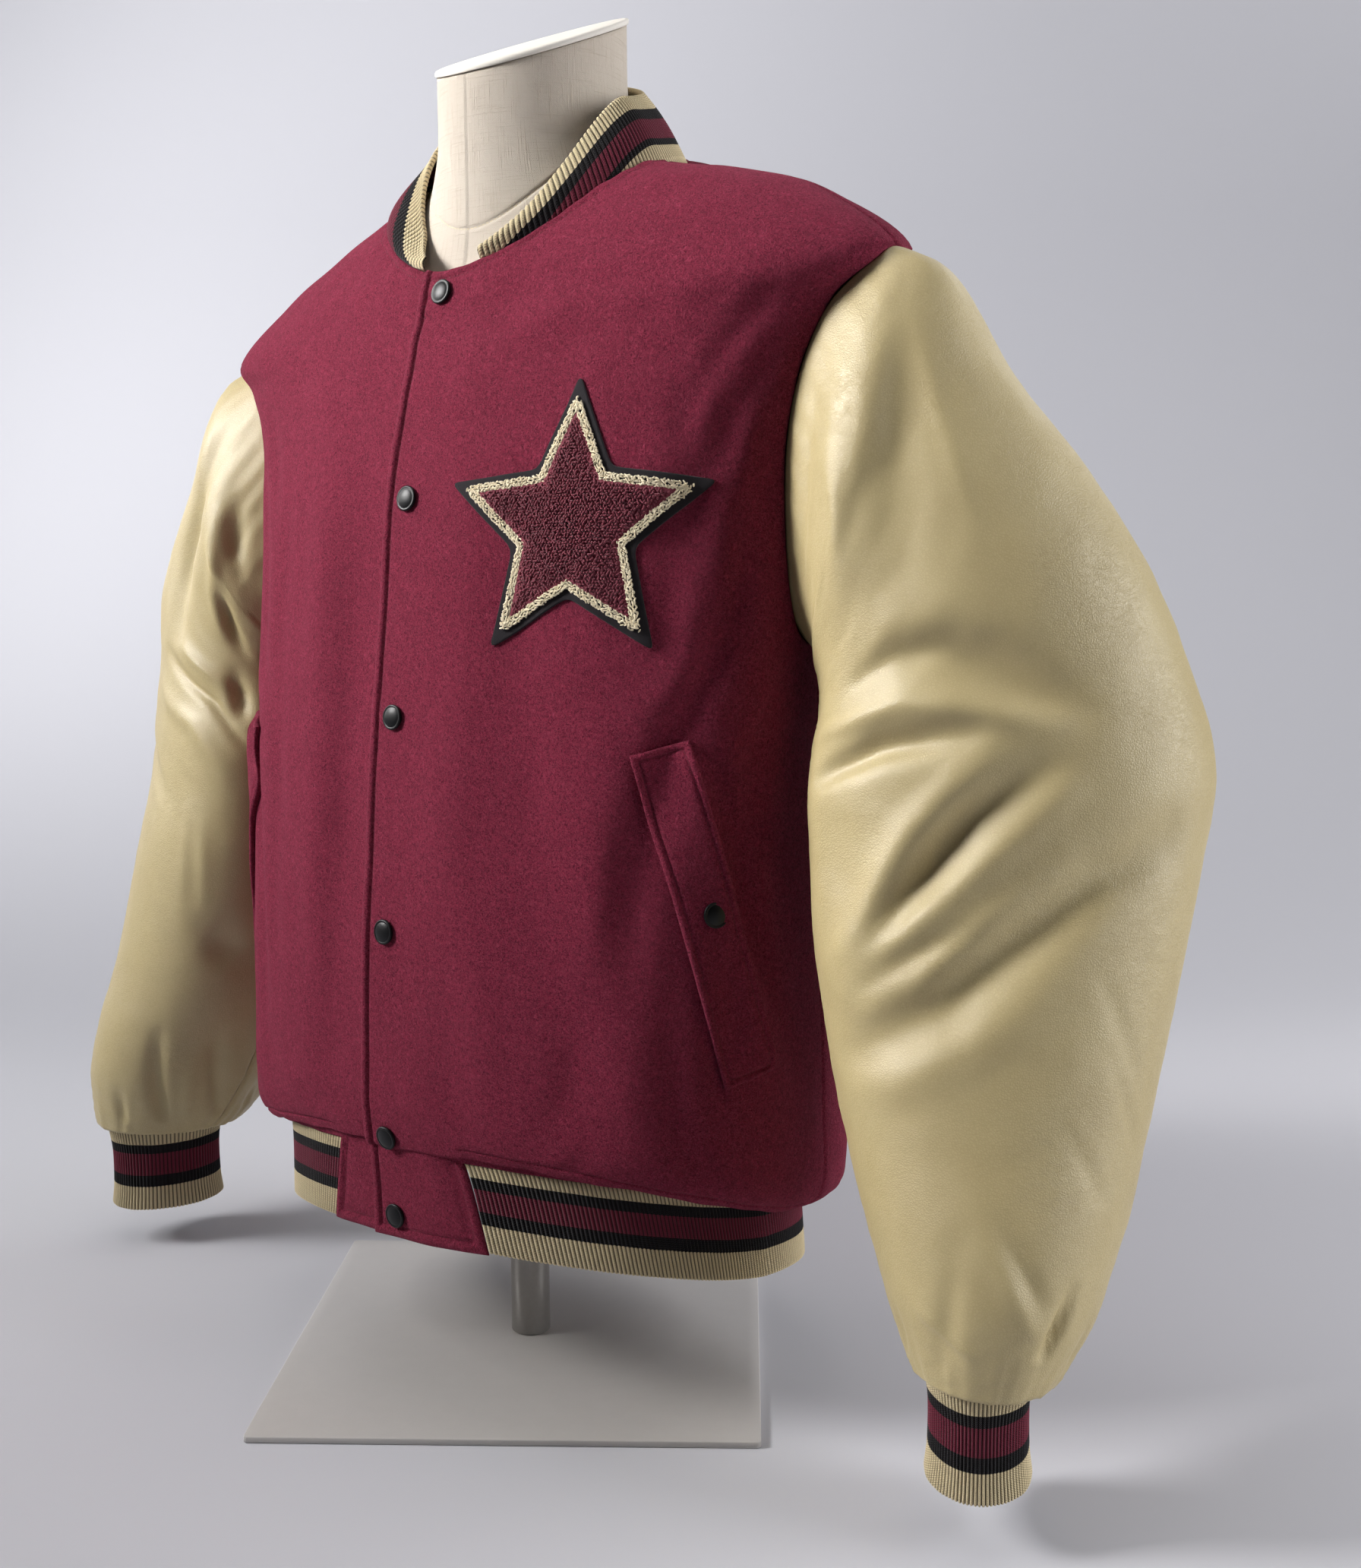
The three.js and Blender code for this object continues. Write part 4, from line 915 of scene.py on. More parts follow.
def back_panel():
    """The back, from side seam to side seam, with its stitches."""
    deg = spaced(BACK_ROWS, lambda v: float(edge_deg(v, False)) + SEAM / 6.4,
                 lambda v: 360 - float(edge_deg(v, False)) - SEAM / 6.4, FAR, FAR, 96)
    v = np.repeat(BACK_ROWS[:, None], deg.shape[1], 1)
    base = body(deg, v)
    across, up = lengths(base, 1), lengths(base, 0)
    from_side = np.minimum(across, across[:, -1:] - across)
    from_top = up[-1] - up
    edge = np.minimum(from_top, np.where(v < 1.6, up, 99))
    out = rolled(edge, WOOL_T) + groove(from_side, 0, 1.3, 1.5)
    out += top_relief(from_top)
    out += groove(v, HEM_ROW, 1.0, 0.055)
    outer = wool(deg, v, out)
    inner = wool(deg, v, -WOOL_T - np.minimum(rolled(edge, WOOL_T), 0))
    panel = shell("back_wool", outer, inner, place_uv(outer), replaces=["back"], **WOOL_LOOK)
    normal = body_normal(deg, v)
    top = np.argmin(np.abs(from_top - TOP_STITCH), 0)
    lines = [hem_index(BACK_ROWS), (top, np.arange(deg.shape[1]))]
    rows = [stitches(outer[line], normal[line]) for line in lines]
    return panel, stitch_piece("back_stitching", rows, **SEAM_LOOK)


# Knitted bands
def rib_band(name, node, face, material, count, across_mm, per, rows, thick=RIB_T, closed=False, rise=1.0,
             start=0.0):
    """A doubled band: outer face from the seam (t 0) to the fold (t 1), round it, and back inside.

    face(u, t, out) gives points; u in 0 to 1 along the band. The ribs run across the band, per
    columns each.
    """
    cols = count * per + (0 if closed else 1)
    u = np.arange(cols) / (count * per)
    r = thick / 2
    flat = 1 - r / across_mm
    turn = np.linspace(0, math.pi, 8)[1:-1]
    t = np.concatenate([np.linspace(start, flat, rows), flat + np.sin(turn) * r / across_mm,
                        np.linspace(flat, start, rows)])
    deep = np.concatenate([np.zeros(rows), -r + r * np.cos(turn), np.full(rows, -thick)])
    sign = np.concatenate([np.ones(rows), np.cos(turn), -np.ones(rows)])
    over = np.concatenate([np.zeros(rows), np.sin(turn), np.zeros(rows)])
    wale = np.abs(np.sin(math.pi * count * u)) ** 0.8
    uneven = 1 + 0.12 * np.sin(u * 37 + 1) + 0.08 * np.sin(u * 91)
    height = rise * (wale * uneven - 1)
    uu, tt = np.meshgrid(u, t)
    depth = deep[:, None] + sign[:, None] * height[None]
    stretch = tt + over[:, None] * height[None] / across_mm
    points = face(uu, stretch, depth)
    run = np.concatenate([np.linspace(start, 1, rows) * across_mm, np.full(len(turn), across_mm),
                          np.linspace(1, start, rows) * across_mm])
    uv = np.stack([uu * count, np.repeat(run[:, None], cols, 1)], -1)
    total = len(t)
    index = np.arange(total * cols).reshape(total, cols)
    a = index if not closed else np.concatenate([index, index[:, :1]], 1)
    a = np.concatenate([a, a[:1]], 0)
    faces = np.stack([a[:-1, :-1], a[:-1, 1:], a[1:, 1:], a[1:, :-1]], -1).reshape(-1, 4)
    faces = [tuple(f) for f in faces]
    if not closed:
        n = total
        for edge, flip in ((index[:, 0], False), (index[:, -1], True)):
            for k in range(n // 2 - 1):
                q = (edge[k], edge[k + 1], edge[n - 2 - k], edge[n - 1 - k])
                faces.append(q[::-1] if flip else q)
    return mesh_piece(name, points.reshape(-1, 3), faces, material, "rib", [node], uv.reshape(-1, 2))


# Number of ribs and width in mm; where each stripe ends, in mm from the seam
WAIST_RIBS, WAIST_WIDTH = 330, 60
CUFF_RIBS, CUFF_WIDTH = 86, 66
COLLAR_RIBS, COLLAR_WIDTH = 168, 54
WAIST_EDGES = (13.0, 21.5, 36.0, 44.0, 60.0)
CUFF_EDGES = (15.0, 22.6, 40.4, 49.6, 66.0)
COLLAR_EDGES = (10.0, 15.0, 30.0, 38.0, 48.0)


def waistband():
    def face(u, t, out):
        v = mix(0.985, 0.02, t)
        start = deg_at_x(mix(TAB_LOW, TAB_HIGH, clamp01(v)), v) + 0.12
        return body_base(mix(start, 360 - start, u), v, out - 0.6)
    material = rib_material("waistband rib", WAIST_EDGES)
    return rib_band("waistband_rib", "waistband", face, material, WAIST_RIBS, WAIST_WIDTH, 6, 10)


# A cuff's ring, with the columns of SLEEVE, and the heights of its ends
CUFF = (350, -30, 0, 0, 28, 40.5, 29)
CUFF_TOP, CUFF_HEM = 92.2, 29.0


def cuffs():
    made = {}
    material = rib_material("cuff rib", CUFF_EDGES)
    for side, label in SIDES:
        def face(u, t, out):
            flare = 1.9 * smooth(0.35, 0.0, t) + 0.9 * smooth(0.75, 1.0, t)
            pinch = 1.2 * np.sin(math.pi * clamp01(t))
            grow = out + flare - pinch + 0.35 * np.sin(u * 2 * math.pi * 5 + 1.3) * (1 - t)
            row = np.zeros(u.shape + (7,))
            row[...] = CUFF
            row[..., 2] = mix(CUFF_TOP, CUFF_HEM, t) + 1.2 * np.sin(u * 2 * math.pi + 0.6) * t
            row[..., 4] += grow
            row[..., 5] += grow
            return mirrored(sleeve_oval(row, 360 * u * side), side)
        made[label] = rib_band(f"cuff_{label}_rib", f"cuff_{label}", face, material, CUFF_RIBS, CUFF_WIDTH,
                               7, 12, closed=True)
    return made


# Collar, from the wool's neckline to a smaller ring, its ends tapering to the centre front
COLLAR_END = 13
TOP_RING = (71.5, -44, 83, 19, 730, 792, 817)
HUG = 10.5  # how far the fold on the wearer's right leans to the neck


def collar_top(deg):
    half, front, back, mid, z_front, z_side, z_back = TOP_RING
    s, c = np.sin(deg * RAD), np.cos(deg * RAD)
    depth = np.where(c > 0, mid - front, back - mid)
    return np.stack([half * s, mid - depth * c, mix(z_side, np.where(c > 0, z_front, z_back), c * c)], -1)


def collar_height(deg):
    d = np.minimum(deg, 360 - deg)
    return 0.1 + 0.9 * smooth(COLLAR_END - 12, 112, d) ** 0.8


def neck_edge(deg):
    row = np.full(np.shape(deg), float(NECK))
    return body(deg, row, lap_lift(np.where(deg > 180, 180, deg), row))


def collar_sheet(u, t):
    deg = mix(COLLAR_END, 360 - COLLAR_END, u)
    low = neck_edge(deg)
    up = collar_top(deg) - low
    out = np.stack([np.sin(deg * RAD), -np.cos(deg * RAD), np.full(deg.shape, 0.4)], -1)
    beyond = 360 - deg
    hug = HUG * smooth(6, 34, beyond) * (1 - smooth(88, 150, beyond)) * smooth(0.0, 0.9, t)
    out = out * (1 - 0.8 * (hug / HUG))[..., None]
    inward = np.stack([-np.sin(deg * RAD), np.cos(deg * RAD), np.zeros(deg.shape)], -1) * hug[..., None]
    rise = up * (t * collar_height(deg))[..., None] + unit(up) * (SEAM + 0.1)
    return low + rise + out * (3.2 * np.sin(math.pi * t * 0.8))[..., None] + inward


def collar():
    def face(u, t, out):
        own = normal_of(collar_sheet, u, np.clip(t, 0.02, 0.98), 0.002, 0.02)
        deg = mix(COLLAR_END, 360 - COLLAR_END, u)
        root = body_normal(deg, np.full(deg.shape, NECK - 0.1))
        n = unit(root + (own - root) * smooth(0, 0.3, t)[..., None])
        thin = smooth(0.0, 0.06, np.minimum(u, 1 - u))
        return collar_sheet(u, t) + n * (out * mix(0.45, 1.0, thin) - 0.5 * (1 - t))[..., None]

    made = rib_band("collar_rib", "collar", face, rib_material("collar rib", COLLAR_EDGES), COLLAR_RIBS,
                    COLLAR_WIDTH, 6, 13, thick=3.6, rise=0.95, start=-0.05)
    # The stripes follow the collar's upper fold, so the neckline cuts them towards the front.
    mesh = made.data
    uv = mesh.uv_layers["UVMap"].data
    flat = np.zeros(len(uv) * 2, np.float32)
    uv.foreach_get("uv", flat)
    flat = flat.reshape(-1, 2)
    u = flat[:, 0] / COLLAR_RIBS
    deg = mix(COLLAR_END, 360 - COLLAR_END, u)
    tall = np.linalg.norm(collar_top(deg) - neck_edge(deg), axis=-1) * collar_height(deg)
    from_fold = (1 - flat[:, 1] / COLLAR_WIDTH) * tall
    flat[:, 1] = np.maximum(COLLAR_EDGES[-1] - from_fold, 0.2)
    uv.foreach_set("uv", flat.ravel())
    return made


# Sleeves. Their folds as the eye sees them, listed one by one: width and depth in mm, then places (phi, row).
LEFT_CREASES = (
    (21, -6.5, (31, 0.8), (48, 1.4), (63, 2.05), (77, 2.85)),             # hollow under the shoulder
    (10, 2.4, (72, 0.5), (88, 0.9), (103, 2.4)),
    (4, 1.6, (33, 1.25), (45, 2.4), (53, 3.1)),
    (5, -3.2, (84, 0.35), (104, 0.5), (126, 0.62)),                       # tuck beside the armhole
    (11, -8.5, (104, 3.95), (90, 3.95), (74, 4.2), (61, 4.55), (41, 5.25)),  # upper arc at the elbow
    (8, 4.2, (126, 4.75), (91, 4.65), (63, 5.05), (38, 5.4)),
    (9, -8.0, (126, 5.7), (117, 5.5), (99, 5.25), (72, 5.25)),            # second arc
    (18, -3.0, (114, 6.2), (118, 7.45)),
    (9, 5.2, (66, 5.5), (87, 6.5), (104, 7.65), (126, 8.25)),
    (9, -8.5, (52, 5.8), (71, 6.35), (83, 7.05), (99, 7.75)),             # slanting trough
    (8, 5.0, (46, 6.1), (70, 7.0), (100, 8.05), (116, 8.45)),
    (6, -4.2, (70, 7.6), (89, 7.95), (109, 8.35)),
    (7, 3.0, (58, 7.3), (84, 8.15), (107, 8.55)),
    (12, -8.5, (11, 6.65), (33, 7.0), (56, 7.75), (77, 8.45), (114, 9.05)),  # long lowest trough
    (12, 3.0, (49, 8.35), (89, 9.1), (118, 9.5)),
    (5, -6.5, (34, 13.1), (25, 11.8)),                                    # pinch over the cuff
    (5, 2.2, (101, 12.15), (70, 13.15)), (6, 2.4, (68, 10.95), (42, 12.45)),
    (5, -2.2, (58, 10.85), (40, 11.9)),
    (9, -2.2, (78, 11.15), (93, 13.9)), (4, -1.1, (30, 8.1), (4, 9.4)), (4, -1.0, (22, 8.9), (0, 10.2)),
    (4, -0.9, (40, 9.6), (12, 10.8)), (5, -2.6, (122, 12.6), (128, 14.2)), (7, -2.4, (178, 12.6),
    (176, 14.0)),
    (7, -2.4, (250, 12.6), (254, 14.2)), (7, -1.8, (4, 12.8), (2, 14.2)),
)
RIGHT_CREASES = (
    (11, -8.5, (65, 0.7), (69, 1.2), (72, 2.6), (82, 4.1)),               # long hollow
    (9, 4.0, (88, 0.8), (98, 1.4), (113, 3.2)),
    (8, -5.5, (104, 2.0), (126, 3.2)), (8, -5.0, (95, 0.6), (112, 0.85)), (8, -6.5, (126, 4.1), (133, 5.3)),
    (7, 3.4, (86, 4.2), (118, 4.5)),
    (5, -4.8, (74, 4.6), (114, 5.05), (140, 6.1)),                        # fold across the elbow
    (9, 3.0, (70, 5.3), (104, 5.7), (128, 6.6)),
    (5, 1.6, (117, 7.5), (125, 8.7)), (5, 1.4, (106, 7.3), (111, 8.8)), (14, -5.5, (128, 9.2), (152, 9.6)),
    (7, -6.0, (117, 11.1), (134, 13.9)), (6, 3.6, (142, 11.6), (150, 14.0)),
    (7, -6.0, (151, 11.2), (174, 13.9)),
    (8, -2.4, (40, 6.2), (88, 7.2)), (10, 2.0, (50, 2.4), (54, 4.6)), (6, -2.4, (98, 12.6), (104, 14.1)),
    (6, -2.2, (52, 12.6), (50, 14.2)), (7, -2.0, (14, 12.6), (12, 14.2)), (7, -2.2, (196, 12.6), (198, 14.0)),
    (7, -2.4, (284, 12.6), (280, 14.2)), (7, -1.8, (330, 12.8), (332, 14.0)),
)
CREASES = {1: LEFT_CREASES, -1: RIGHT_CREASES}
BACK_SEAM, UNDER_SEAM = -45, 180
leather_wave = ripples(8, 16, 16, 52)
leather_fine = ripples(9, 18, 6, 15)


def leather(phi, s, out, side):
    """The outer face of the leather with its creases, puckers and soft wrinkles."""
    a, b, turn = phi * 1.5, s * 36, phi * RAD
    calm = swell(s, 1, (0.15, 0.9), (CUFF_ROW - 1.6, CUFF_ROW - 0.6))
    pucker = 0.7 * np.exp(-s / 0.5) * smooth(0.02, 0.2, s) * np.sin(turn * 34 + 2 * np.sin(turn * 3))
    gather = 0.3 * np.sin(turn * 21 + 1.5 * np.sin(turn * 4 + side)) + 0.2 * np.sin(turn * 37 + 2)
    gather = gather * swell(s, 1, (11.5, 14.5), (15.6, 16.6)) + swell(s, 4.4, (10.0, 13.0), (15.3, 16.3))
    if side < 0:
        gather = gather + swell(s, 2.0, (6.5, 11.0), (14.6, 16.0)) * np.cos((phi - 15) * RAD).clip(0)
    soft = 0.16 * leather_wave(a + 60 * side, b) + 0.08 * leather_fine(a, b + 90 * side)
    return sleeve(phi, s, out + calm * soft + pucker + gather, side, CREASES[side])


SLEEVE_ROWS = stations([0, 0.02, 0.08, 0.3, *range(1, 17), CUFF_ROW - 0.01],
                       [2, 2, 4, 13, 9, 9, 12, 12, 12, 12, 13, 14, 12, 11, 10, 9, 7, 5, 4, 4])
# The halves of a sleeve: name, first and last angle, number of columns between the seams' own
HALVES = (("front", BACK_SEAM, UNDER_SEAM, 78), ("back", UNDER_SEAM - 360, BACK_SEAM, 42))
SEAM_SIDE = np.array([0, 0.15, 0.5, 1, 1.6, 2.4, 3.2, 4.0, 5.2, 7])


def sleeves():
    made = {}
    for side, label in SIDES:
        grids = {}
        for piece, first, last, count in HALVES:
            rows = []
            for s in SLEEVE_ROWS:
                d = np.linspace(first, last, 240)
                run = lengths(sleeve_ring(d, np.full_like(d, s), side), 0)
                gap = 0.3 * smooth(0, 1, s) + 0.3
                at = np.concatenate([gap / 2 + SEAM_SIDE, np.linspace(7.5, run[-1] - 7.5, count),
                                     run[-1] - gap / 2 - SEAM_SIDE[::-1]])
                rows.append(np.interp(at, run, d))
            phi = np.array(rows)
            s = np.repeat(SLEEVE_ROWS[:, None], phi.shape[1], 1)
            base = sleeve_ring(phi, s, side)
            across = lengths(base, 1)
            from_a, from_b = across, across[:, -1:] - across
            stitched = from_a if piece == "front" else from_b
            out = groove(np.minimum(from_a, from_b), 0, 1.1, 1.3) - np.exp(-s / 0.045)
            out += groove(stitched, 3.4, 0.45, 0.7) + swell(stitched, 0.35, (0.4, 1.6), (2.4, 3.3))
            outer = mirrored(leather(phi, s, out, side), side)
            inner = mirrored(leather(phi, s, out - LEATHER_T, side), side)
            grids[piece] = outer, mirrored(sleeve_dir(phi, s, side), side)
            turned = slice(None, None, -side)
            name = f"sleeve_{label}_{piece}"
            made.setdefault(label, {})[piece] = shell(
                f"{name}_leather", outer[turned], inner[turned], place_uv(outer)[turned],
                material=LEATHER, slot="leather", replaces=[name])
        rows = []
        col = np.searchsorted(SEAM_SIDE, 3.2)
        for piece, j in (("front", col), ("back", -1 - col)):
            points, normal = grids[piece]
            span = slice(2, len(SLEEVE_ROWS) - 4)
            rows.append(stitches(points[span, j], normal[span, j], 3.4, 0.75, share=0.72, rise=0.05))
        made[label]["stitching"] = stitch_piece(f"sleeve_{label}_stitching", rows, material=CREAM_THREAD,
                                                slot="leather")
    return made


# Trim that lies on a front: a flat pattern in mm, dropped on the cloth along one direction
class Patchwork:
    def __init__(self, deg, z, lean=0.0):
        self.v = float(row_at_z(deg, z))
        self.deg = deg
        n = body_normal(deg, self.v)
        right = unit(np.cross([0.0, 0.0, 1.0], n))
        up = np.cross(n, right)
        c, s = math.cos(lean * RAD), math.sin(lean * RAD)
        self.n, self.right, self.up = n, c * right + s * up, c * up - s * right
        self.centre = body(deg, self.v)

    def find(self, a, b):
        """The angle and row of the cloth under a pattern's points."""
        deg = np.full(np.shape(a), float(self.deg)) + np.asarray(a) / 3.2
        v = np.full(np.shape(a), self.v) + np.asarray(b) / 50
        for _ in range(12):
            def local(d, w):
                q = body(d, w) - self.centre
                return q @ self.right, q @ self.up
            x, y = local(deg, v)
            xd, yd = local(deg + 0.2, v)
            xv, yv = local(deg, v + 0.02)
            j = [(xd - x) / 0.2, (xv - x) / 0.02, (yd - y) / 0.2, (yv - y) / 0.02]
            det = j[0] * j[3] - j[1] * j[2]
            ex, ey = a - x, b - y
            deg = deg + np.clip((ex * j[3] - ey * j[1]) / det, -8, 8)
            v = v + np.clip((ey * j[0] - ex * j[2]) / det, -0.8, 0.8)
        return deg, v

    def lay(self, a, b, out, lift=lap_lift):
        deg, v = self.find(a, b)
        return wool(deg, v, lift(deg, v) + out), body_normal(deg, v)


STAR_R, STAR_INNER = 75, 0.47
FELT_T = 1.6
LOOP_STEP, CORD_STEP = 1.9, 1.4


def star_line(radius):
    k = np.arange(10)
    r = np.where(k % 2 == 0, radius, radius * STAR_INNER)
    a = (90 + 36 * k) * RAD
    return np.stack([r * np.cos(a), r * np.sin(a)], 1)


def along_sides(line, counts):
    """Points at even steps along each side of a closed line."""
    sides = zip(line, np.roll(line, -1, 0), counts)
    return np.concatenate([p + (q - p) * (np.arange(n) / n)[:, None] for p, q, n in sides])


def line_distance(points, line):
    """Distance of points from a closed line, and whether they are inside it."""
    best = np.full(len(points), 1e9)
    inside = np.zeros(len(points), bool)
    for p, q in zip(line, np.roll(line, -1, 0)):
        e = q - p
        t = clamp01(((points - p) @ e) / (e @ e))
        best = np.minimum(best, np.linalg.norm(points - p - t[:, None] * e, axis=1))
        crosses = (p[1] > points[:, 1]) != (q[1] > points[:, 1])
        x = p[0] + (points[:, 1] - p[1]) * e[0] / (e[1] if abs(e[1]) > 1e-9 else 1e-9)
        inside ^= crosses & (points[:, 0] < x)
    return best, inside


def star_slab(name, radius, rounding, low, high, edge, patch, **how):
    """A star-shaped layer: rings from the outline to the centre, with rolled edges."""
    ring = along_sides(star_line(radius), [22] * 10)
    for _ in range(rounding):
        ring = (np.roll(ring, 1, 0) + 2 * ring + np.roll(ring, -1, 0)) / 4
    scale = np.concatenate([[1, 0.997, 0.99, 0.98, 0.965], np.linspace(0.92, 0.05, 15)])
    grid = ring[None] * scale[:, None, None]
    a, b = grid[..., 0], grid[..., 1]
    d = line_distance(grid.reshape(-1, 2), ring[::4])[0].reshape(a.shape)
    d[0] = 0
    top, _ = patch.lay(a, b, high + rolled(d, edge))
    under, _ = patch.lay(a, b, low)
    n = grid.shape[1]
    last = (len(scale) - 1, 2 * len(scale) - 1)
    # The wall between the two innermost rings goes, and a face closes each of them.
    faces = shell_faces(np.ones((len(scale) - 1, n), bool), True)[:, ::-1].tolist()
    faces = [f for f in faces if {k // n for k in f} != set(last)]
    caps = [range(row * n, row * n + n) for row in last]
    points = np.concatenate([top.reshape(-1, 3), under.reshape(-1, 3)])
    uv = np.concatenate([grid.reshape(-1, 2)] * 2)
    return mesh_piece(name, points, faces + [caps[0], caps[1][::-1]], uv=uv, **how)


def bead_sizes(count, *ranges):
    return np.stack([rng.uniform(low, high, count) for low, high in ranges], 1)


def star_patch():
    patch = Patchwork(29.5, 533)
    made = {"felt": star_slab("patch_felt_star", STAR_R + 10, 3, SEAM, FELT_T, 1.3, patch, material=FELT,
                              slot="felt", replaces=["patch_felt"])}
    made["chenille"] = star_slab("patch_chenille_star", STAR_R - 10, 2, FELT_T + 0.2, FELT_T + 1.6, 1.6,
                                 patch, material=CHENILLE, slot="chenille", replaces=["patch_chenille"])
    # Loops of yarn in close rows over the star
    inside_line = star_line(STAR_R - 9.5)
    gx, gy = np.meshgrid(np.arange(-76, 76, LOOP_STEP), np.arange(-76, 78, LOOP_STEP * 0.87))
    gx = gx + (np.arange(len(gx)) % 2)[:, None] * LOOP_STEP / 2
    spots = np.stack([gx.ravel(), gy.ravel()], 1) + rng.uniform(-0.42, 0.42, (gx.size, 2))
    d, inside = line_distance(spots, inside_line)
    keep = inside & (d > 1.2)
    spots = spots[keep]
    height = FELT_T + 1.3 + smooth(0, 7, d[keep]) + rng.uniform(-0.35, 0.4, len(spots))
    points, normals = patch.lay(spots[:, 0], spots[:, 1], height)
    turn = rng.uniform(0, math.pi, len(spots))
    side = unit(np.cross(normals, [0.0, 0.0, 1.0]))
    along = side * np.cos(turn)[:, None] + np.cross(normals, side) * np.sin(turn)[:, None]
    size = bead_sizes(len(spots), (0.95, 1.35), (0.62, 0.82), (0.7, 1.1))
    made["loops"] = scatter("patch_chenille_loops", THREAD, points, along, normals, size, material=CHENILLE,
                            slot="chenille")
    # A cream cord of short stitches round the star
    cord_line = star_line(STAR_R - 5.5)
    sides = np.linalg.norm(np.roll(cord_line, -1, 0) - cord_line, axis=1)
    ring = along_sides(cord_line, (sides / CORD_STEP).astype(int))
    n = len(ring)
    ahead = unit(np.roll(ring, -1, 0) - np.roll(ring, 1, 0))
    beside = np.stack([-ahead[:, 1], ahead[:, 0]], 1)
    spots, lean, tall = [], [], []
    for offset in (-1.9, -0.65, 0.65, 1.9):
        wobble = rng.normal(0, 0.22, n) + offset
        spots.append(ring + beside * wobble[:, None] + ahead * rng.uniform(-0.5, 0.5, n)[:, None])
        lean.append(ahead * rng.uniform(0.5, 1.0, n)[:, None] + beside * rng.uniform(-0.9, 0.9, n)[:, None])
        tall.append(1.15 * np.sqrt(np.maximum(0, 1 - (wobble / 3.0) ** 2)) + rng.uniform(-0.25, 0.3, n))
    spots, lean, tall = np.concatenate(spots), np.concatenate(lean), np.concatenate(tall)
    points, normals = patch.lay(spots[:, 0], spots[:, 1], FELT_T + 0.35 + tall)
    along = lean[:, :1] * patch.right + lean[:, 1:] * patch.up
    along = along - normals * np.sum(along * normals, 1, keepdims=True)
    size = bead_sizes(len(spots), (1.0, 1.6), (0.5, 0.72), (0.55, 0.8))
    made["cord"] = scatter("patch_cord_outline", THREAD, points, along, normals, size, material=CORD,
                           slot="cord", replaces=["patch_cord"])
    return made


WELT = {"length": 196, "width": 33, "deg": 63.5, "z": 316, "lean": 14.5}
WELT_EDGE = np.array([0, 0.1, 0.35, 0.7, 1.2, 1.9, 2.8, 3.6, 4.2, 4.8, 5.6, 6.8])
WELT_STITCH_IN = 4.2


def edged(size, first, count):
    """Places across a welt, close at its edges; first is the first of the even steps."""
    middle = np.linspace(first, size - first, count)
    return np.concatenate([WELT_EDGE, middle, size - WELT_EDGE[::-1]]) - size / 2


def welts():
    """The pocket welts with their stitches, a little free of the front at their mouths."""
    made = {}
    half_width, half_length = WELT["width"] / 2, WELT["length"] / 2
    for side, label in SIDES:
        patch = Patchwork(side * WELT["deg"], WELT["z"], side * WELT["lean"])
        aa, bb = np.meshgrid(edged(WELT["width"], 9, 7), edged(WELT["length"], 10, 60))
        d = np.minimum(half_width - np.abs(aa), half_length - np.abs(bb))
        raised = 3.4 * smooth(-6, half_width, side * aa) * (1 - smooth(0.86, 1.0, np.abs(bb) / half_length))
        out = SEAM + 3.6 + raised + rolled(d, 2.8) + groove(d, WELT_STITCH_IN, 1.0, 0.9)
        out += swell(d, 0.3, (0.3, 2), (2.6, 3.8)) + 0.3 * np.sin(bb / 21 + side)
        outer, normals = patch.lay(aa, bb, out, no_lift)
        inner, _ = patch.lay(aa, bb, SEAM + raised * 0.9, no_lift)
        face = shell(f"welt_{label}_wool", outer, inner, np.stack([aa, bb], -1), replaces=[f"welt_{label}"],
                     **WOOL_LOOK)
        i = np.searchsorted(WELT_EDGE, WELT_STITCH_IN)
        span = slice(i, -i)
        rows = [stitches(outer[line], normals[line], 3.2)
                for line in ((span, i), (span, -1 - i), (i, span), (-1 - i, span))]
        made[label] = face, stitch_piece(f"welt_{label}_stitching", rows, **SEAM_LOOK)
    return made


# Domed snaps: a rolled rim round a shallow dome
SNAP_PROFILE = (
    # radius and height in mm
    (0.0, -0.9), (5.6, -0.9), (6.9, -0.5), (7.45, 0.1), (7.6, 0.75), (7.5, 1.25), (7.15, 1.6), (6.7, 1.72),
    (6.3, 1.6), (6.05, 1.5), (5.8, 1.58), (5.2, 1.85), (4.2, 2.15), (2.8, 2.42), (1.4, 2.56), (0.0, 2.6),
)


def snap(name, at, normal, node):
    sides = 56
    profile = np.array(SNAP_PROFILE)
    a = np.arange(sides) * 2 * math.pi / sides
    ring = np.stack([np.cos(a), np.sin(a)], 1)
    side = unit(np.cross(normal, [0.0, 0.0, 1.0]))
    up = np.cross(side, normal)
    points = [at + normal * profile[0, 1]]
    for r, h in profile[1:-1]:
        points.extend(at + normal * h + r * (ring[:, :1] * side + ring[:, 1:] * up))
    points.append(at + normal * profile[-1, 1])
    rows = len(profile) - 2
    faces = []
    for j in range(sides):
        k = (j + 1) % sides
        faces.append((0, 1 + j, 1 + k))
        for i in range(rows - 1):
            p = 1 + i * sides
            faces.append((p + j, p + sides + j, p + sides + k, p + k))
        faces.append((1 + (rows - 1) * sides + j, len(points) - 1, 1 + (rows - 1) * sides + k))
    return mesh_piece(name, np.array(points), faces, material=SNAP, slot="snap_metal", replaces=[node])


SNAP_HEIGHTS = (672, 550, 422, 295, 170, 119)


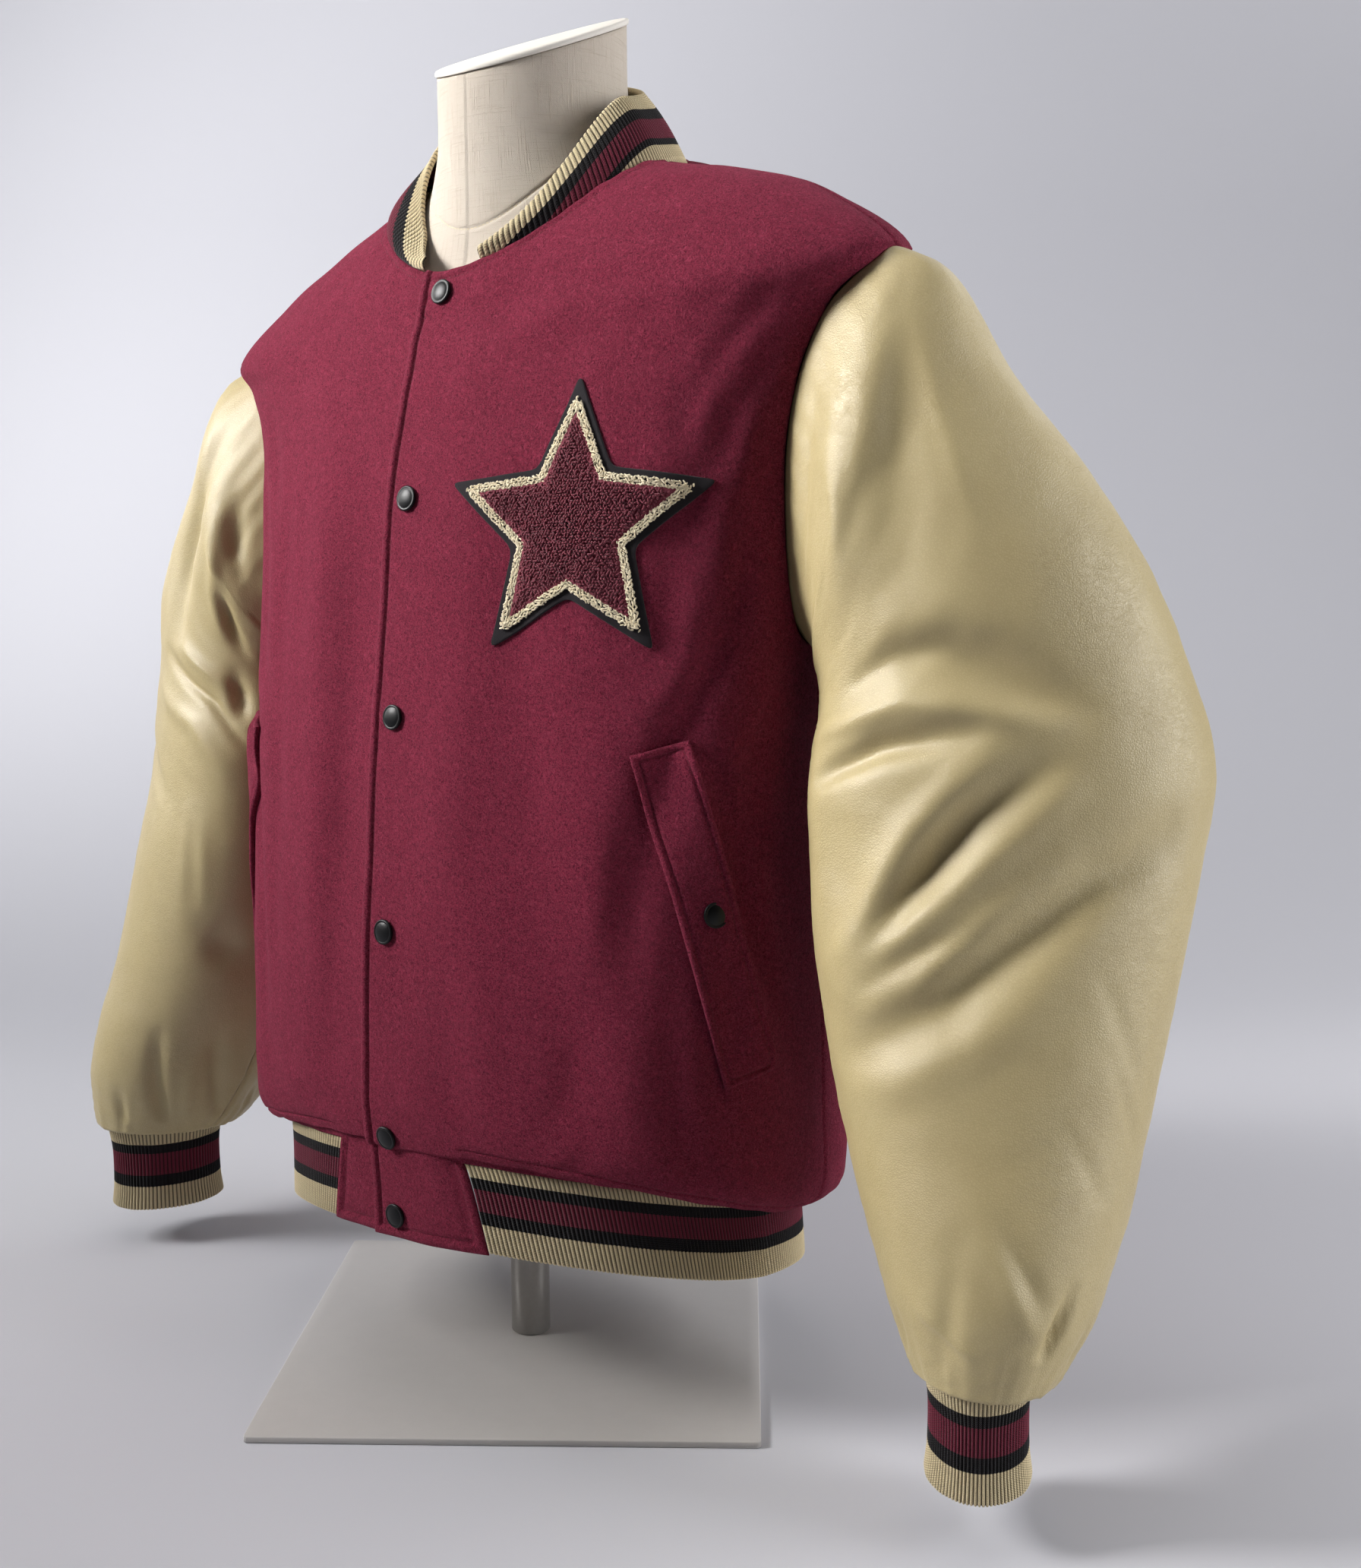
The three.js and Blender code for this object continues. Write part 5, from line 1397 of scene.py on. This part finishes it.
def snaps():
    for k, z in enumerate(SNAP_HEIGHTS):
        v = row_at_z(0.0, z)
        n = normal_of(lambda a, b: body(a, b, LAP_RISE), 0.0, v, 1.6, 0.1)
        snap(f"snap_front_cap_{k + 1}", wool(0.0, v, LAP_RISE + 0.75), n, f"snap_front_{k + 1}")
    for side, label in SIDES:
        deg = side * (WELT["deg"] + 1.5)
        v = row_at_z(deg, WELT["z"] + 2.0)
        n = normal_of(lambda a, b: body(a, b, 3.0), deg, v, 1.6, 0.1)
        snap(f"snap_pocket_cap_{label}", wool(deg, v, 4.4), n, f"snap_pocket_{label}")


# Dress form. Rings: half width; y of the front, back and widest point; height at the front, side and
# back; squareness.
FORM = (
    (158, -84, 112, 12, 188, 188, 188, 2.1), (163, -86, 116, 12, 250, 250, 250, 2.1),
    (150, -76, 100, 10, 360, 360, 360, 2.1), (160, -80, 112, 12, 470, 470, 470, 2.1),
    (174, -78, 122, 14, 560, 570, 570, 2.15), (186, -70, 120, 17, 605, 630, 635, 2.15),
    (190, -62, 113, 20, 633, 664, 684, 2.15), (184, -58, 109, 21, 650, 688, 710, 2.15),
)
FORM_UNDER = ((13.5, 3.4), (13.9, 1.7), (14.6, 2.2))
FORM_NECK = (
    (87, -43, 90, 20, 684, 739, 766, 2.0), (71, -38, 85, 21, 706, 756, 788, 2.0),
    (62, -37, 82, 22, 737, 777, 804, 2.0),
)
NECK_R, NECK_Y, NECK_SLOPE = 59, 22, 0.42
NECK_SEAM_ROW = 12.25


def form_ring(row, deg):
    half, front, back, mid, z_front, z_side, z_back, power = row
    s, c = np.sin(deg * RAD), np.cos(deg * RAD)
    depth = np.where(c > 0, mid - front, back - mid)
    return np.stack([half * spow(s, 2 / power), mid - depth * spow(c, 2 / power),
                     mix(z_side, np.where(c > 0, z_front, z_back), c * c)], -1)


def neck_ring(r, low, deg):
    y = NECK_Y - r * np.cos(deg * RAD)
    return np.stack([r * np.sin(deg * RAD), y, low + NECK_SLOPE * (y - NECK_Y)], -1)


def lathe_piece(name, rings, uv=None, **how):
    """A closed piece through rings of points, with flat ends."""
    rows, n = rings.shape[:2]
    i, j = np.meshgrid(np.arange(rows - 1), np.arange(n), indexing="ij")
    k = (j + 1) % n
    faces = np.stack([i * n + j, i * n + k, (i + 1) * n + k, (i + 1) * n + j], -1).reshape(-1, 4)
    faces = faces.tolist() + [range(n)[::-1], range((rows - 1) * n, rows * n)]
    return mesh_piece(name, rings.reshape(-1, 3), faces, uv=None if uv is None else uv.reshape(-1, 2), **how)


def form():
    deg = np.arange(144) * 2.5
    knots = [form_ring(r, deg) for r in FORM]
    for v, ease in FORM_UNDER:
        knots.append(body_base(deg, np.full(deg.shape, v), np.full(deg.shape, -WOOL_T - ease)))
    knots += [form_ring(r, deg) for r in FORM_NECK]
    knots += [neck_ring(NECK_R, 795, deg), neck_ring(NECK_R, 828, deg)]
    knots = np.stack(knots)
    t = stations([0, 7, 10, 11, 12.0, 12.5, 15], [28, 12, 6, 8, 14, 32])
    rings = spline(knots, t)
    rings = np.where((t > 14)[:, None, None], mix(knots[14], knots[15], (t - 14)[:, None, None]), rings)
    n = unit(np.cross(np.roll(rings, -1, 1) - np.roll(rings, 1, 1), np.gradient(rings, axis=0)))
    tuck = groove(t, NECK_SEAM_ROW, 0.9, 0.035)[:, None] + groove(deg, 180, 0.54, 1.6)[None]
    rings = rings + n * tuck[..., None]
    uv = np.stack([np.broadcast_to(deg * 1.06, t.shape + deg.shape), rings[..., 2]], -1)
    torso = lathe_piece("form_body_linen", rings, uv=uv, material=LINEN, slot="linen",
                        replaces=["form_torso"])
    profile = ((NECK_R - 0.6, 828.4), (NECK_R + 0.9, 828.5), (NECK_R + 1.3, 829.2), (NECK_R + 1.3, 830.9),
               (NECK_R + 0.8, 831.9), (NECK_R - 1.2, 832.5), (NECK_R * 0.6, 832.7), (NECK_R * 0.2, 832.8))
    lathe_piece("form_neck_disc", np.stack([neck_ring(r, z, deg) for r, z in profile]), material=CAP,
                slot="cap", replaces=["form_neck_cap"])
    row = np.argmin(np.abs(t - NECK_SEAM_ROW))
    loop = np.concatenate([rings[row], rings[row, :1]])
    normals = np.concatenate([n[row], n[row, :1]])
    stitch_piece("form_neck_stitching", [stitches(loop, normals, 3.0, 0.55)], material=CREAM_THREAD,
                 slot="linen")
    return torso


# Stand
PLATE_SIDE, PLATE_T, PLATE_TURN, POLE_R = 305, 4, 35.5, 12.8


def stand():
    """A plate with rounded corners and edges, and a tube that ends in a small foot on it."""
    corner = 3.0
    a = np.arange(8) * math.pi / 14
    outline = []
    for k, (sx, sy) in enumerate(((1, 1), (-1, 1), (-1, -1), (1, -1))):
        turn = a + k * math.pi / 2
        outline.append(np.stack([sx * (PLATE_SIDE / 2 - corner) + corner * np.cos(turn),
                                 sy * (PLATE_SIDE / 2 - corner) + corner * np.sin(turn)], 1))
    outline = np.concatenate(outline)
    c, s = math.cos(PLATE_TURN * RAD), math.sin(PLATE_TURN * RAD)
    outline = outline @ np.array([[c, s], [-s, c]])
    edge = ((1.0, 0.0), (0.35, 0.1), (0.0, 0.5), (0.0, PLATE_T - 0.6), (0.2, PLATE_T - 0.18),
            (0.7, PLATE_T), (8, PLATE_T))
    height = np.ones((len(outline), 1))
    rings = np.stack([np.concatenate([outline * (1 - inset / (PLATE_SIDE / 2)), height * z], 1)
                      for inset, z in edge])
    lathe_piece("stand_plate", rings, material=STEEL, slot="steel", replaces=["base_plate"])
    deg = np.arange(64) * 5.625
    profile = ((POLE_R - 0.8, 4.3), (POLE_R, 4.9), (POLE_R, 40), (POLE_R, 120), (POLE_R, 187.7))
    rings = np.stack([np.stack([r * np.sin(deg * RAD), -r * np.cos(deg * RAD), np.full(deg.shape, z)], -1)
                      for r, z in profile])
    lathe_piece("stand_tube", rings, material=POLE_PAINT, slot="steel", replaces=["pole"])


fronts()
back_panel()
waistband()
cuffs()
collar()
sleeves()
star_patch()
welts()
form()
snaps()
stand()


# Stage, in metres: pale paper that is the floor and bends up behind the object
SWEEP_R = 1.1


def stage():
    m = Nodes("studio paper")
    m.set(Roughness=0.95, Specular_IOR_Level=0.1)
    m.shader.inputs["Base Color"].default_value = tone((196, 196, 202))
    points, faces = [], []
    forward = np.array([-0.60948, 0.79278])
    across = np.array([0.79278, 0.60948])
    profile = [(-4.0, 0.0), (-2.0, 0.0), (-0.6, 0.0), (0.9, 0.0)]
    bend = np.linspace(0, math.pi / 2, 16)[1:]
    profile += [(0.9 + SWEEP_R * math.sin(a), SWEEP_R - SWEEP_R * math.cos(a)) for a in bend]
    profile += [(2.0, 5.0)]
    for f, z in profile:
        for x in (-6.0, 6.0):
            p = forward * f + across * x
            points.append((p[0], p[1], z - 0.00005))
    for i in range(len(profile) - 1):
        faces.append((2 * i, 2 * i + 1, 2 * i + 3, 2 * i + 2))
    mesh = bpy.data.meshes.new("studio_sweep")
    mesh.from_pydata(points, [], faces)
    mesh.polygons.foreach_set("use_smooth", [True] * len(faces))
    mesh.materials.append(m.material)
    sweep = bpy.data.objects.new("studio_sweep", mesh)
    bpy.context.scene.collection.objects.link(sweep)


def softbox(name, place, target, size, power, color=(1, 1, 1), spread=180):
    light = bpy.data.lights.new(name, "AREA")
    light.shape = "RECTANGLE"
    light.size, light.size_y = size
    light.energy = power
    light.color = color
    light.spread = spread * RAD
    obj = bpy.data.objects.new(name, light)
    obj.location = place
    obj.rotation_mode = "QUATERNION"
    obj.rotation_quaternion = (Vector(target) - Vector(place)).to_track_quat("-Z", "Y")
    bpy.context.scene.collection.objects.link(obj)


stage()
softbox("key_left", (-1.5, -1.5, 1.7), (0.02, -0.1, 0.74), (0.9, 0.9), 6.6, (1.0, 0.985, 0.97), 34)
softbox("key_low", (-2.4, -0.35, 1.2), (0, -0.1, 0.74), (0.9, 1.2), 1.2, (1.0, 0.985, 0.97), 50)
softbox("side_right", (2.2, 0.75, 1.0), (0.2, 0, 0.36), (1.2, 1.6), 44, (0.99, 0.99, 1.0))
softbox("back_high", (0.3, 2.2, 1.9), (0, 0.2, 0.4), (2.0, 1.2), 14)
softbox("top", (-0.3, -0.2, 3.0), (-0.1, 0, 0), (1.8, 1.8), 18)
softbox("paper_wash", (-0.9, 0.3, 1.9), (-1.5, 1.7, 0.9), (1.4, 1.0), 9, (1, 1, 1), 120)
softbox("paper_left", (-1.2, -0.4, 1.3), (-2.1, 1.0, 0.45), (0.8, 0.8), 4.5, (1, 1, 1), 80)
softbox("floor_wash", (-1.5, -1.1, 1.5), (-0.75, -0.25, 0), (0.8, 0.8), 3.4, (1, 1, 1), 56)
world = bpy.data.worlds.new("studio air")
bpy.context.scene.world = world
world.use_nodes = True
world.node_tree.nodes["Background"].inputs["Color"].default_value = (0.95, 0.96, 1.0, 1)
world.node_tree.nodes["Background"].inputs["Strength"].default_value = 0.03
bpy.context.scene.view_settings.view_transform = "Standard"

# Camera, solved from the plate's corners
camera = bpy.data.cameras.new("camera")
camera.lens = 40.745
camera.sensor_width = 36
camera.clip_start, camera.clip_end = 0.05, 30
view = bpy.data.objects.new("camera", camera)
bpy.context.scene.collection.objects.link(view)
axis_x = Vector((0.79329915, 0.60879281, -0.00691179))
axis_y = Vector((-0.07060249, 0.10326402, 0.99214507))
axis_z = axis_x.cross(axis_y)
turn = Matrix((axis_x, axis_y, axis_z)).transposed().to_4x4()
view.matrix_world = Matrix.Translation((0.7726, -0.8367, 0.5133)) @ turn
bpy.context.scene.camera = view
